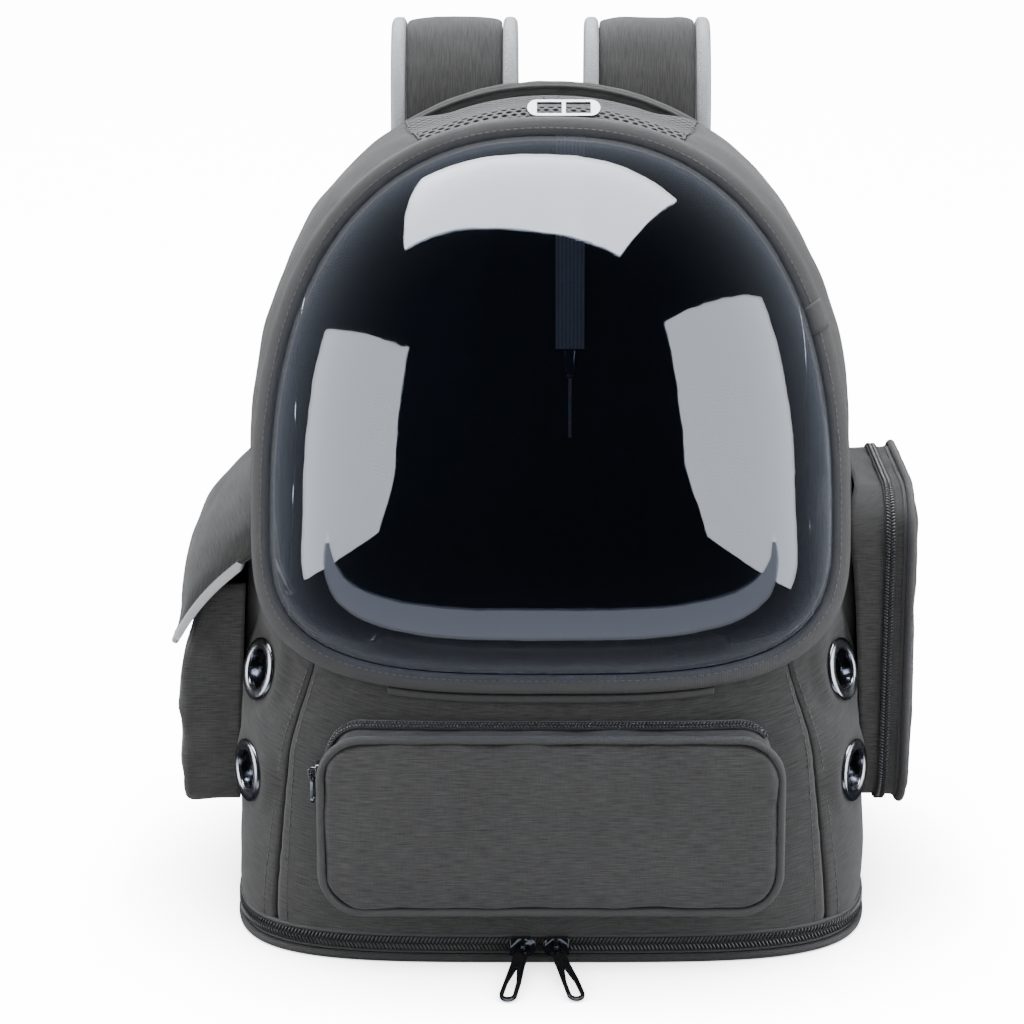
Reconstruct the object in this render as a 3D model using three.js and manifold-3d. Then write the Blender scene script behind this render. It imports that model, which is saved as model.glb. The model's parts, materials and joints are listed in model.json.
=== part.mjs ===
// Pet carrier backpack with a clear bubble window, standing on its base.
// Millimetres, +Z up, the front faces -Y, +X is the right side seen from the front.
// The origin is the middle of the flat underside.
import * as THREE from 'three';
import { mergeVertices } from 'three/addons/utils/BufferGeometryUtils.js';
import Module from 'manifold-3d';

const wasm = await Module();
wasm.setup();

// Driving dimensions of the body
const BODY_HALF_WIDTH = 160;
const BODY_HALF_DEPTH = 125;
const BODY_HEIGHT = 435;
const BASE_FLARE = 11;
const WIDEST_Z = 254;
const CORNER_POWER = 3.9;
const TOP_CORNER_POWER = 14;
const ARCH_POWER = 2.1;
const FOLD_POWER = 14;
const REAR_POWER = 9;
const HEM_POWER = 22;
const BACK_LEAN = 0.07;
const WALL = 3;
const GRIP_SHARE = 0.3;
const BASE_SPREAD = 1.35;
const REAR_SPREAD = 0.9;
const GAP = 0.3;

// Driving dimensions of the bubble window
const WINDOW_HALF_WIDTH = 155;
const WINDOW_WIDEST_Z = 230;
const WINDOW_BOTTOM_Z = 146;
const WINDOW_TOP_Z = 427;
const WINDOW_BOTTOM_Y = -116;
const WINDOW_TOP_Y = -24;
const WINDOW_WRAP = 24;
const WINDOW_LOW_POWER = 3.75;
const WINDOW_HIGH_POWER = 2.35;
const WINDOW_WRAP_POWER = 2.6;
const WINDOW_BULGE = 82;
const DOME_WALL = 1.6;
const BINDING_WIDTH = 9;
const BINDING_THICK = 7;
const CLOTH_UNDER_BINDING = 0.55;
const STRIP_LENGTH = 172;
const STRIP_RADIUS = 2;

// Driving dimensions of the base
const TRAY_HEIGHT = 6.5;
const TRAY_FLOOR = 3;
const ZIP_HEIGHT = 8;
const ZIP_PROUD = 1.2;
const ZIP_TURN = 2.05;
const PIPING_RADIUS = 2.2;
const SHELL_BOTTOM_Z = TRAY_HEIGHT + ZIP_HEIGHT + 2 * GAP;

// Driving dimensions of the back, the rear roll and the mesh top
const BACK_PAD = 13;
const BACK_EDGE = { tuck: 1, low: 0.4, high: 0.7, round: 7 };
const BACK_LENGTH_SPARE = 1;
const ROLL_RADIUS = 5;
const ROLL_INSET = 3;
const MESH_HALF_WIDTH = 66;
const MESH_DIP = 9;
const MESH_DIP_POWER = 1.3;
const MESH_FADE = { from: 0.8, to: 1.5 };

// Driving dimensions of the front pocket
const FRONT_POCKET_DEPTH = 17;
const FRONT_POCKET = {
  low: -115,
  high: 115,
  bottom: 37,
  top: 124,
  reach: BODY_HALF_DEPTH + FRONT_POCKET_DEPTH,
  corner: 19,
  crown: 3,
};
const FRONT_POCKET_ROOT = 100;
const POCKET_WALL = 2.5;
const POCKET_LIP = 3;
const POCKET_EDGE = 1.5;
const POCKET_CROWN_SHARE = 0.8;
const POCKET_ZIP_WIDTH = 6;
const POCKET_ZIP_THICK = 1.6;
const POCKET_ZIP_BACK = 10;
const POCKET_ZIP_FALL = 4;
const POCKET_ZIP_STOP = 5;
const POCKET_PIPING = 2.1;

// Driving dimensions of the side pockets
const SIDE_POCKET_ROOT = 120;
const EYELET_ROOM = 63;
const LEFT_POCKET_DEPTH = 37;
const RIGHT_POCKET_DEPTH = 31;
const LEFT_POCKET = {
  low: EYELET_ROOM + 4 - BODY_HALF_DEPTH,
  high: 56,
  bottom: 61,
  top: 220,
  reach: BODY_HALF_WIDTH + LEFT_POCKET_DEPTH,
  corner: 16,
  crown: 3,
};
const LEFT_MOUTH_Z = 186;
const LEFT_MOUTH_DRAW = 13;
const LEFT_DRAW_LENGTH = 60;
const RIGHT_POCKET = {
  low: EYELET_ROOM - BODY_HALF_DEPTH,
  high: 62,
  bottom: 62,
  top: 235,
  reach: BODY_HALF_WIDTH + RIGHT_POCKET_DEPTH,
  corner: 26,
  crown: 4,
};
const RIGHT_ZIP_BACK = 14;
const FLAP_TOP_Z = 246;
const FLAP_END_Z = 208;
const FLAP_EDGE_Z = 160;
const FLAP_DRAW = 2;
const FLAP_REACH = LEFT_POCKET.reach - FLAP_DRAW;
const FLAP_BULGE = 12;
const FLAP_OVERHANG = 9;
const FLAP_THICK = 2.5;
const FLAP_BINDING = 2;
const FLAP_TUCK = 4;
const FLAP_HOOD_POWER = 0.35;
const FLAP_END_BULGE = 0.3;
const FLAP_SEAM_SHARE = 0.2;

// Driving dimensions of the eyelets
const EYELET_OUTER = 33.4;
const EYELET_HOLE = 20.5;
const EYELET_BARREL = 1.6;
const EYELET_SIDES = 16;
const EYELETS = [
  { name: 'eyelet_left_upper', side: -1, x: 152.5, z: 144 },
  { name: 'eyelet_left_lower', side: -1, x: 159, z: 91 },
  { name: 'eyelet_right_upper', side: 1, x: 152.5, z: 144 },
  { name: 'eyelet_right_lower', side: 1, x: 159, z: 91 },
];

// Driving dimensions of the shoulder straps
const STRAP_WIDTH = 71;
const STRAP_THICK = 11;
const STRAP_MIDDLE_X = 54;
const STRAP_BINDING = 8.5;
const STRAP_STEPS = 12;
const STRAP_ROUTE = [
  { back: 0, z: 345 },
  { back: 0, z: 375 },
  { back: 2, z: 405 },
  { back: 12, z: 437 },
  { back: 27, z: 454 },
  { back: 48, z: 452 },
  { back: 66, z: 428 },
  { back: 74, z: 385 },
  { back: 72, z: 320 },
  { back: 58, z: 250 },
  { back: 40, z: 190 },
];
const WEBBING_WIDTH = 25;
const WEBBING_THICK = 2.2;
const WEBBING_FOOT = { x: 128, z: 26 };
const WEBBING_BENDS = [
  { x: 0.3, y: 0.5, z: 0.33 },
  { x: 0.7, y: 0.85, z: 0.7 },
];

// Driving dimensions of the slide on the mesh top
const TOP_SLIDE = { x: 6.7, y: -9, width: 38, height: 13, bar: 2, corner: 5, thick: 1.6, tilt: 0.55 };

// Driving dimensions of the leash inside
const LEASH = { x: 10.5, y: 52, width: 16, thick: 1.6, bottom: 288 };
const LEASH_CLIP = { top: 9, foot: 6.3, height: 16, thick: 5 };
const LEASH_CORD = { radius: 0.9, drop: 34 };

// Driving dimensions of the pulls and sliders
const PULL_WIDTH = 9;
const PULL_LENGTH = 44;
const PULL_THICK = 1.8;
const PULL_BAR = 1.6;
const PULL_EYE = { share: 0.5, length: 4.6 };
const PULL_SHAPE = { head: 0.8, neck: 0.85, waist: 0.8, waistAt: 0.3, hipAt: 0.62 };
const PULL_HOLE = { from: 0.28, to: 0.6, side: 0.5, end: 0.56 };
const SLIDER = { length: 14, height: 10, thick: 3.2, nose: 3.2, chamfer: 1, noseShare: 0.6 };
const BRIDGE = { width: 2.2, thick: 1.1, rise: 4, span: 8.4, sink: 0.5, shoulder: 1.4, bend: 0.8 };
const AXIS_RISE = 2.6;
const BASE_SLIDERS = [
  { side: 'left', x: -14.5, nose: 1, yaw: -0.19 },
  { side: 'right', x: 2.6, nose: -1, yaw: 0.27 },
];
const SMALL = 0.8;
const SIDE_PULL = { length: 17, width: 7.5, thick: 1.4, yaw: 0.12, rise: 2.3 };

const CENTRE = new THREE.Vector3(0, 0, WIDEST_Z);
const vec = (x, y, z) => new THREE.Vector3(x, y, z);
const clamp = (value, low, high) => Math.min(high, Math.max(low, value));
const mix = (a, b, t) => a + (b - a) * t;
const smooth = (low, high, value) => {
  const t = clamp((value - low) / (high - low), 0, 1);
  return t * t * (3 - 2 * t);
};
const norm = (power, ...terms) =>
  Math.pow(terms.reduce((sum, term) => sum + Math.pow(Math.max(0, term), power), 0), 1 / power);

// Outer surface of the body: a smooth meeting of walls, 1 on the surface, growing outwards
const windowLean = (WINDOW_TOP_Y - WINDOW_BOTTOM_Y) / (WINDOW_TOP_Z - WINDOW_BOTTOM_Z);
const skirtLean = (WINDOW_BOTTOM_Y + BODY_HALF_DEPTH) / WINDOW_BOTTOM_Z;
const skirtReach = BODY_HALF_DEPTH - skirtLean * WIDEST_Z;
const windowReach = -WINDOW_BOTTOM_Y - windowLean * (WIDEST_Z - WINDOW_BOTTOM_Z);
const backReach = BODY_HALF_DEPTH - BACK_LEAN * WIDEST_Z;

function bodyLevel(point) {
  const down = WIDEST_Z - point.z;
  const across = Math.abs(point.x) / BODY_HALF_WIDTH;
  const up = Math.max(0, -down) / (BODY_HEIGHT - WIDEST_Z);
  const flare = (BASE_FLARE * Math.max(0, down)) / WIDEST_Z / BODY_HALF_WIDTH;
  const side = norm(ARCH_POWER, across - flare, up);
  const front = norm(
    FOLD_POWER,
    (-point.y - skirtLean * down) / skirtReach,
    (-point.y - windowLean * down) / windowReach,
  );
  const back = (point.y - BACK_LEAN * down) / backReach;
  const topness = side > 0 ? up / side : 0;
  const power = mix(CORNER_POWER, TOP_CORNER_POWER, topness * topness);
  const walls = norm(REAR_POWER, norm(power, front, side), back);
  return norm(HEM_POWER, walls, down / WIDEST_Z);
}

// Point where a ray from the start first leaves the body, by halving
function bodyHit(start, direction, reach = 600) {
  let inside = 0;
  let outside = reach;
  for (let step = 0; step < 40; step += 1) {
    const middle = (inside + outside) / 2;
    const point = start.clone().addScaledVector(direction, middle);
    if (bodyLevel(point) < 1) inside = middle;
    else outside = middle;
  }
  return start.clone().addScaledVector(direction, inside);
}

// Window outline, s from 0 at the bottom middle to 1 at the top middle, inset towards its middle
function windowPoint(s, side, inset) {
  const angle = Math.PI * (s - 0.5);
  const low = angle < 0;
  const power = low ? WINDOW_LOW_POWER : WINDOW_HIGH_POWER;
  const halfWidth = WINDOW_HALF_WIDTH - inset;
  const rise = (low ? WINDOW_WIDEST_Z - WINDOW_BOTTOM_Z : WINDOW_TOP_Z - WINDOW_WIDEST_Z) - inset;
  const x = halfWidth * Math.pow(Math.max(0, Math.cos(angle)), 2 / power);
  const z = WINDOW_WIDEST_Z + Math.sign(angle) * rise * Math.pow(Math.abs(Math.sin(angle)), 2 / power);
  return windowPlane(side * x, z);
}

function windowPlane(x, z) {
  const wrap = WINDOW_WRAP * Math.pow(Math.abs(x) / WINDOW_HALF_WIDTH, WINDOW_WRAP_POWER);
  return vec(x, WINDOW_BOTTOM_Y + windowLean * (z - WINDOW_BOTTOM_Z) + wrap, z);
}

// Middle, half width and half thickness of the window binding at s
function windowFrame(s, side) {
  const outer = windowPoint(s, side, 0);
  const inner = windowPoint(s, side, BINDING_WIDTH);
  const point = outer.clone().add(inner).multiplyScalar(0.5);
  const across = outer.sub(inner).multiplyScalar(0.5);
  const forward = vec(0, -1, windowLean).normalize();
  const up = forward.addScaledVector(across, -forward.dot(across) / across.lengthSq()).normalize();
  return { point, across, up: up.multiplyScalar(BINDING_THICK / 2) };
}

// Where the cloth starts, behind the binding
function clothStart(s) {
  const { point, across, up } = windowFrame(s, 1);
  const behind = 1 + (2 * GAP) / (BINDING_THICK / 2);
  return point.addScaledVector(across, CLOTH_UNDER_BINDING).addScaledVector(up, -behind);
}

// Outer boundary of the cloth shell: round the base, then up the edge of the back
const REAR_EDGE = BACK_PAD + 1;
const rearY = (z) => BODY_HALF_DEPTH - BACK_LEAN * z - REAR_EDGE;
const CORNER_S = 0.42;
const cornerStart = vec(0, rearY(SHELL_BOTTOM_Z), SHELL_BOTTOM_Z);
const rearCorner = bodyHit(cornerStart, vec(1, 0, 0));
const cornerTurn = Math.atan2(rearCorner.x, -rearCorner.y);
const cornerRise = Math.atan2(SHELL_BOTTOM_Z - WIDEST_Z, rearCorner.x);

function rearOutline(angle) {
  let inside = 0;
  let outside = 500;
  const at = (reach) => {
    const z = WIDEST_Z + reach * Math.sin(angle);
    return vec(reach * Math.cos(angle), rearY(z), z);
  };
  for (let step = 0; step < 40; step += 1) {
    const middle = (inside + outside) / 2;
    if (bodyLevel(at(middle)) < 1) inside = middle;
    else outside = middle;
  }
  return at(inside);
}

function baseOutline(turn, z) {
  return bodyHit(vec(0, 0, z), vec(Math.sin(turn), -Math.cos(turn), 0));
}

function shellEdge(s) {
  if (s <= CORNER_S) {
    return baseOutline(cornerTurn * Math.pow(s / CORNER_S, BASE_SPREAD), SHELL_BOTTOM_Z);
  }
  const t = (s - CORNER_S) / (1 - CORNER_S);
  return rearOutline(mix(cornerRise, Math.PI / 2, Math.pow(t, REAR_SPREAD)));
}

// Cloth shell between the window binding, t 0, and the outer boundary, t 1
function shellPoint(s, t, side) {
  const start = clothStart(s);
  const end = shellEdge(s);
  const flat = start.lerp(end, t).sub(CENTRE);
  const level = bodyLevel(flat.clone().add(CENTRE));
  const grip = smooth(0, GRIP_SHARE, t);
  const point = flat.multiplyScalar(1 + grip * (1 / level - 1)).add(CENTRE);
  const mesh = 1 - smooth(MESH_HALF_WIDTH * MESH_FADE.from, MESH_HALF_WIDTH * MESH_FADE.to, point.x);
  if (s > 0.5) point.z -= MESH_DIP * mesh * Math.pow(Math.sin(Math.PI * t), MESH_DIP_POWER);
  point.x *= side;
  return point;
}

// Meshes from grids of points
function meshFrom(points, faces) {
  const geometry = new THREE.BufferGeometry();
  geometry.setAttribute('position', new THREE.Float32BufferAttribute(points.flatMap((p) => p.toArray()), 3));
  geometry.setIndex(faces.flat());
  return geometry;
}

function volumeOf(geometry) {
  const position = geometry.getAttribute('position');
  const index = geometry.getIndex();
  const corner = [vec(0, 0, 0), vec(0, 0, 0), vec(0, 0, 0)];
  let volume = 0;
  for (let i = 0; i < index.count; i += 3) {
    corner.forEach((p, k) => p.fromBufferAttribute(position, index.getX(i + k)));
    volume += corner[0].dot(corner[1].clone().cross(corner[2])) / 6;
  }
  return volume;
}

// Turns every face round when the volume comes out negative
function facingOut(geometry) {
  if (volumeOf(geometry) > 0) return geometry;
  const index = Array.from(geometry.getIndex().array);
  for (let i = 0; i < index.length; i += 3) {
    [index[i + 1], index[i + 2]] = [index[i + 2], index[i + 1]];
  }
  geometry.setIndex(index);
  return geometry;
}

// A closed tube of rings: each ring has the same count, ends are closed unless the rings join up
function loft(rings, loop = false) {
  const count = rings[0].length;
  const points = rings.flat();
  const faces = [];
  const last = loop ? rings.length : rings.length - 1;
  for (let i = 0; i < last; i += 1) {
    const here = i * count;
    const next = ((i + 1) % rings.length) * count;
    for (let j = 0; j < count; j += 1) {
      const k = (j + 1) % count;
      faces.push([here + j, here + k, next + k], [here + j, next + k, next + j]);
    }
  }
  if (!loop) {
    const cap = (ring, offset, turned) => {
      const middle = points.length;
      points.push(ring.reduce((sum, p) => sum.add(p), vec(0, 0, 0)).divideScalar(count));
      for (let j = 0; j < count; j += 1) {
        const k = (j + 1) % count;
        faces.push(turned ? [middle, offset + k, offset + j] : [middle, offset + j, offset + k]);
      }
    };
    cap(rings[0], 0, true);
    cap(rings[rings.length - 1], (rings.length - 1) * count, false);
  }
  return facingOut(meshFrom(points, faces));
}

// A wall between two grids of the same size, closed round all four edges
function wall(outer, inner) {
  const rows = outer.length;
  const columns = outer[0].length;
  const points = [...outer.flat(), ...inner.flat()];
  const at = (layer, i, j) => layer * rows * columns + i * columns + j;
  const faces = [];
  const quad = (a, b, c, d) => faces.push([a, b, c], [a, c, d]);
  for (let i = 0; i < rows - 1; i += 1) {
    for (let j = 0; j < columns - 1; j += 1) {
      quad(at(0, i, j), at(0, i + 1, j), at(0, i + 1, j + 1), at(0, i, j + 1));
      quad(at(1, i, j), at(1, i, j + 1), at(1, i + 1, j + 1), at(1, i + 1, j));
    }
  }
  for (let i = 0; i < rows - 1; i += 1) {
    const far = columns - 1;
    quad(at(0, i, 0), at(1, i, 0), at(1, i + 1, 0), at(0, i + 1, 0));
    quad(at(0, i, far), at(0, i + 1, far), at(1, i + 1, far), at(1, i, far));
  }
  for (let j = 0; j < columns - 1; j += 1) {
    const far = rows - 1;
    quad(at(0, 0, j), at(0, 0, j + 1), at(1, 0, j + 1), at(1, 0, j));
    quad(at(0, far, j), at(1, far, j), at(1, far, j + 1), at(0, far, j + 1));
  }
  return facingOut(meshFrom(points, faces));
}

function solid(geometry) {
  const bare = new THREE.BufferGeometry();
  bare.setAttribute('position', geometry.getAttribute('position').clone());
  if (geometry.getIndex()) bare.setIndex(Array.from(geometry.getIndex().array));
  const merged = mergeVertices(bare, 1e-4);
  return new wasm.Manifold(new wasm.Mesh({
    numProp: 3,
    vertProperties: new Float32Array(merged.getAttribute('position').array),
    triVerts: new Uint32Array(merged.getIndex().array),
  }));
}

function geometryOf(body) {
  const mesh = body.getMesh();
  const geometry = new THREE.BufferGeometry();
  geometry.setAttribute('position', new THREE.BufferAttribute(new Float32Array(mesh.vertProperties), 3));
  geometry.setIndex(Array.from(mesh.triVerts));
  return geometry;
}

const paint = (colour, roughness, metalness = 0) =>
  new THREE.MeshStandardMaterial({ color: colour, roughness, metalness });
const CLOTH = paint(0x6a6a68, 0.95);
const TRIM = paint(0x5c5c5a, 0.9);
const PALE_TRIM = paint(0xb9b9c2, 0.9);
const MESH_CLOTH = paint(0x4a4a4c, 0.9);
const ZIP = paint(0x1c1c1e, 0.6);
const CLEAR = paint(0xdfe6ee, 0.05);
const GUNMETAL = paint(0x6e7074, 0.25, 1);
const BLACK_METAL = paint(0x17181a, 0.2, 1);

const backpack = new THREE.Group();

function add(name, geometry, material) {
  const mesh = new THREE.Mesh(geometry, material);
  mesh.name = name;
  backpack.add(mesh);
  return mesh;
}

// One cloth panel of the shell between two values of s on one side, or across the middle
function panelGrid(columns, rows, edgeGap, proud = 0) {
  const place = columns.map(([s, side]) => rows.map((t) => shellPoint(s, t, side)));
  const step = 0.004;
  const normals = columns.map(([s, side]) => rows.map((t) => {
    const t0 = Math.max(0, t - step);
    const t1 = Math.min(1, t + step);
    const s0 = Math.max(0.002, s - step);
    const s1 = Math.min(0.998, s + step);
    const along = shellPoint(s1, t, side).sub(shellPoint(s0, t, side));
    const down = shellPoint(s, t1, side).sub(shellPoint(s, t0, side));
    const normal = down.cross(along).normalize().multiplyScalar(side);
    return normal;
  }));
  const inner = place.map((line, i) => line.map((p, j) => p.clone().addScaledVector(normals[i][j], -WALL)));
  place.forEach((line, i) => line.forEach((p, j) => p.addScaledVector(normals[i][j], proud)));
  for (const layer of [place, inner]) {
    const far = layer.length - 1;
    const first = layer[0].map((p, j) => layer[1][j].clone().sub(p).normalize());
    const last = layer[far].map((p, j) => layer[far - 1][j].clone().sub(p).normalize());
    layer[0].forEach((p, j) => p.addScaledVector(first[j], edgeGap));
    layer[far].forEach((p, j) => p.addScaledVector(last[j], edgeGap));
  }
  return wall(place, inner);
}

const rangeOf = (count, from, to) => Array.from({ length: count + 1 }, (_, i) => mix(from, to, i / count));
const FRONT_SEAM_S = 0.228;
const rowsOf = (count) => rangeOf(count, 0, 1).map((t) => Math.pow(t, 1.15));

// s where the window edge is the half width of the mesh top
function meshSeam() {
  const power = 2.35;
  return 0.5 + Math.acos(Math.pow(MESH_HALF_WIDTH / WINDOW_HALF_WIDTH, power / 2)) / Math.PI;
}

const halfFront = rangeOf(7, 0.012, FRONT_SEAM_S);
const frontColumns = [
  ...halfFront.slice().reverse().map((s) => [s, -1]),
  ...halfFront.map((s) => [s, 1]),
];

// Round the window: right side upwards, then left side downwards
function windowLoop(count) {
  const right = rangeOf(count, 0, 1).map((s) => [s, 1]);
  const left = rangeOf(count, 0, 1).slice(1, -1).reverse().map((s) => [s, -1]);
  return [...right, ...left];
}

// Rings of a rounded section carried along a path; each frame has a point and two half axes
function sweep(frames, sides, loop = false, power = 2) {
  const rings = frames.map(({ point, across, up }) => rangeOf(sides, 0, 2 * Math.PI).slice(0, -1).map((a) => {
    const c = Math.sign(Math.cos(a)) * Math.pow(Math.abs(Math.cos(a)), 2 / power);
    const d = Math.sign(Math.sin(a)) * Math.pow(Math.abs(Math.sin(a)), 2 / power);
    return point.clone().addScaledVector(across, c).addScaledVector(up, d);
  }));
  return loft(rings, loop);
}

// The binding and the room that the cloth leaves for it
const bindingFrames = windowLoop(21).map(([s, side]) => windowFrame(s, side));
add('window_binding', sweep(bindingFrames, 6, true, 2.6), TRIM);
const bindingRoom = solid(sweep(bindingFrames.map(({ point, across, up }) => ({
  point,
  across: across.clone().multiplyScalar(1 + GAP / (BINDING_WIDTH / 2)),
  up: up.clone().multiplyScalar(1 + GAP / (BINDING_THICK / 2)),
})), 6, true, 2.6));

const frontGrid = panelGrid(frontColumns, rowsOf(6), GAP / 2);
add('front_panel', geometryOf(solid(frontGrid).subtract(bindingRoom)), CLOTH);

const sideStations = [
  ...rangeOf(6, FRONT_SEAM_S, CORNER_S),
  ...rangeOf(7, CORNER_S, meshSeam()).slice(1),
];

// Eyelets: a curved-edge flange on each face of the cloth, joined by a barrel through it
function eyeletFrame(eyelet) {
  let best = { s: 0.3, t: 0.5, miss: Infinity };
  for (let span = 0.5; span > 0.001; span /= 3) {
    const from = { s: best.s, t: best.t };
    for (const ds of rangeOf(16, -span, span)) {
      for (const dt of rangeOf(16, -span, span)) {
        const s = clamp(from.s + ds, 0.05, 0.6);
        const t = clamp(from.t + dt, 0.02, 0.98);
        const point = shellPoint(s, t, 1);
        const miss = Math.hypot(point.x - eyelet.x, point.z - eyelet.z) + Math.max(0, point.y + 20);
        if (miss < best.miss) best = { s, t, miss };
      }
    }
  }
  const step = 0.03;
  const seat = shellPoint(best.s, best.t, eyelet.side);
  const along = shellPoint(best.s + step, best.t, eyelet.side)
    .sub(shellPoint(best.s - step, best.t, eyelet.side));
  const down = shellPoint(best.s, best.t + step, eyelet.side)
    .sub(shellPoint(best.s, best.t - step, eyelet.side));
  const normal = down.cross(along).normalize().multiplyScalar(eyelet.side);
  return { seat, normal };
}

function turned(geometry, seat, normal) {
  const turn = new THREE.Quaternion().setFromUnitVectors(vec(0, 1, 0), normal);
  geometry.applyQuaternion(turn);
  geometry.translate(seat.x, seat.y, seat.z);
  return geometry;
}

const EYELET_INNER_DEPTH = WALL + 2.2;

function eyeletProfile() {
  const bore = EYELET_HOLE / 2;
  const outer = EYELET_OUTER / 2;
  const barrel = bore + EYELET_BARREL;
  const washer = outer - 3;
  return [
    [bore, -EYELET_INNER_DEPTH - 1],
    [washer, -EYELET_INNER_DEPTH - 1],
    [washer, -EYELET_INNER_DEPTH],
    [barrel, -EYELET_INNER_DEPTH],
    [barrel, GAP],
    [outer, GAP],
    [outer - 3, GAP + 2.2],
    [bore, GAP + 1],
    [bore, -EYELET_INNER_DEPTH - 1],
  ].map(([r, y]) => new THREE.Vector2(r, y));
}

function sidePanel(side) {
  const grid = panelGrid(sideStations.map((s) => [s, side]), rowsOf(6), GAP / 2);
  let panel = solid(grid).subtract(bindingRoom);
  for (const eyelet of EYELETS.filter((item) => item.side === side)) {
    const { seat, normal } = eyeletFrame(eyelet);
    const barrel = EYELET_HOLE / 2 + EYELET_BARREL + GAP;
    const flange = EYELET_OUTER / 2 + GAP;
    const cuts = [
      [barrel, -20, 20],
      [flange, 0, 12],
      [flange, -20, GAP - EYELET_INNER_DEPTH],
    ];
    for (const [radius, low, high] of cuts) {
      const drill = new THREE.CylinderGeometry(radius, radius, high - low, EYELET_SIDES);
      drill.translate(0, (low + high) / 2, 0);
      panel = panel.subtract(solid(turned(drill, seat, normal)));
    }
  }
  return geometryOf(panel);
}

add('side_panel_left', sidePanel(-1), CLOTH);
add('side_panel_right', sidePanel(1), CLOTH);
for (const eyelet of EYELETS) {
  const { seat, normal } = eyeletFrame(eyelet);
  const ring = new THREE.LatheGeometry(eyeletProfile(), EYELET_SIDES);
  add(eyelet.name, turned(ring, seat, normal), GUNMETAL);
}

const halfMesh = rangeOf(5, meshSeam(), 0.988);
const meshColumns = [
  ...halfMesh.map((s) => [s, -1]),
  ...halfMesh.slice().reverse().map((s) => [s, 1]),
];

const meshGrid = panelGrid(meshColumns, rangeOf(6, 0, 1), GAP / 2);
add('mesh_top', geometryOf(solid(meshGrid).subtract(bindingRoom)), MESH_CLOTH);

// Bubble: the window plane raised by a bulge that falls to nothing at the edge
const DOME_EDGE = BINDING_WIDTH + 2 * GAP;
const windowForward = vec(0, -1, windowLean).normalize();
const domeMiddleZ = (WINDOW_BOTTOM_Z + WINDOW_TOP_Z) / 2;

function domePoint(s, side, share, depth) {
  const edge = windowPoint(s, side, DOME_EDGE + depth);
  const middle = windowPlane(0, domeMiddleZ);
  const flat = windowPlane(edge.x * share, mix(middle.z, edge.z, share));
  const bulge = (WINDOW_BULGE - depth) * Math.pow(1 - Math.pow(share, 2.2), 0.6);
  return flat.addScaledVector(windowForward, bulge);
}

function bowl(ringPoint, shares, stations) {
  const layers = [0, DOME_WALL];
  const points = [];
  const faces = [];
  for (const depth of layers) {
    for (const share of shares) {
      for (const [s, side] of stations) points.push(ringPoint(s, side, share, depth));
    }
  }
  const count = stations.length;
  const at = (layer, ring, j) => (layer * shares.length + ring) * count + (j % count);
  for (let ring = 0; ring < shares.length - 1; ring += 1) {
    for (let j = 0; j < count; j += 1) {
      faces.push([at(0, ring, j), at(0, ring, j + 1), at(0, ring + 1, j + 1)]);
      faces.push([at(0, ring, j), at(0, ring + 1, j + 1), at(0, ring + 1, j)]);
      faces.push([at(1, ring, j), at(1, ring + 1, j + 1), at(1, ring, j + 1)]);
      faces.push([at(1, ring, j), at(1, ring + 1, j), at(1, ring + 1, j + 1)]);
    }
  }
  const last = shares.length - 1;
  for (const layer of [0, 1]) {
    const pole = points.length;
    points.push(ringPoint(0.5, 1, 0, layers[layer]));
    for (let j = 0; j < count; j += 1) {
      const pair = [at(layer, last, j), at(layer, last, j + 1)];
      faces.push(layer === 0 ? [pole, pair[0], pair[1]] : [pole, pair[1], pair[0]]);
    }
  }
  for (let j = 0; j < count; j += 1) {
    faces.push([at(0, 0, j), at(1, 0, j), at(1, 0, j + 1)]);
    faces.push([at(0, 0, j), at(1, 0, j + 1), at(0, 0, j + 1)]);
  }
  return facingOut(meshFrom(points, faces));
}
const domeShares = rangeOf(6, 1, 0).slice(0, -1).map((share) => Math.sin((share * Math.PI) / 2));
add('window_dome', bowl(domePoint, domeShares, windowLoop(14)), CLEAR);

// Thin strip sewn under the window binding
function stripFrames() {
  const half = Math.acos(Math.pow(STRIP_LENGTH / 2 / WINDOW_HALF_WIDTH, 3.75 / 2)) / Math.PI;
  const end = 0.5 - half;
  const stations = [
    ...rangeOf(5, 0.002, end).reverse().map((s) => [s, -1]),
    ...rangeOf(5, 0.002, end).map((s) => [s, 1]),
  ];
  return stations.map(([s, side]) => {
    const point = shellPoint(s, 0.035, side);
    const down = shellPoint(s, 0.07, side).sub(point).normalize();
    const out = vec(0, -1, 0).addScaledVector(down, down.y).normalize();
    point.addScaledVector(out, STRIP_RADIUS * 0.6 + 2 * GAP);
    return { point, across: down.multiplyScalar(STRIP_RADIUS), up: out.multiplyScalar(STRIP_RADIUS * 0.6) };
  });
}
add('lower_strip', sweep(stripFrames(), 6, false, 3), TRIM);

// Base: a tray under the body, with a piping round its foot and a zip above it
function basePoint(turn, inset, z) {
  const point = baseOutline(turn, SHELL_BOTTOM_Z);
  const out = vec(Math.sin(turn), -Math.cos(turn), 0);
  point.addScaledVector(out, -inset);
  point.z = z;
  return point;
}

const baseTurns = rangeOf(36, -Math.PI, Math.PI).slice(0, -1);
const TRAY_STEP_Z = 2 * PIPING_RADIUS + 2 * GAP;
const TRAY_FOOT_INSET = PIPING_RADIUS + GAP;
const trayRings = [
  [TRAY_FOOT_INSET, 0],
  [TRAY_FOOT_INSET, TRAY_STEP_Z],
  [0.2, TRAY_STEP_Z],
  [0.2, TRAY_HEIGHT],
  [TRAY_FOOT_INSET + WALL, TRAY_HEIGHT],
  [TRAY_FOOT_INSET + WALL, TRAY_FLOOR],
].map(([inset, z]) => baseTurns.map((turn) => basePoint(turn, inset, z)));
add('base_tray', loft(trayRings), TRIM);

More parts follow.
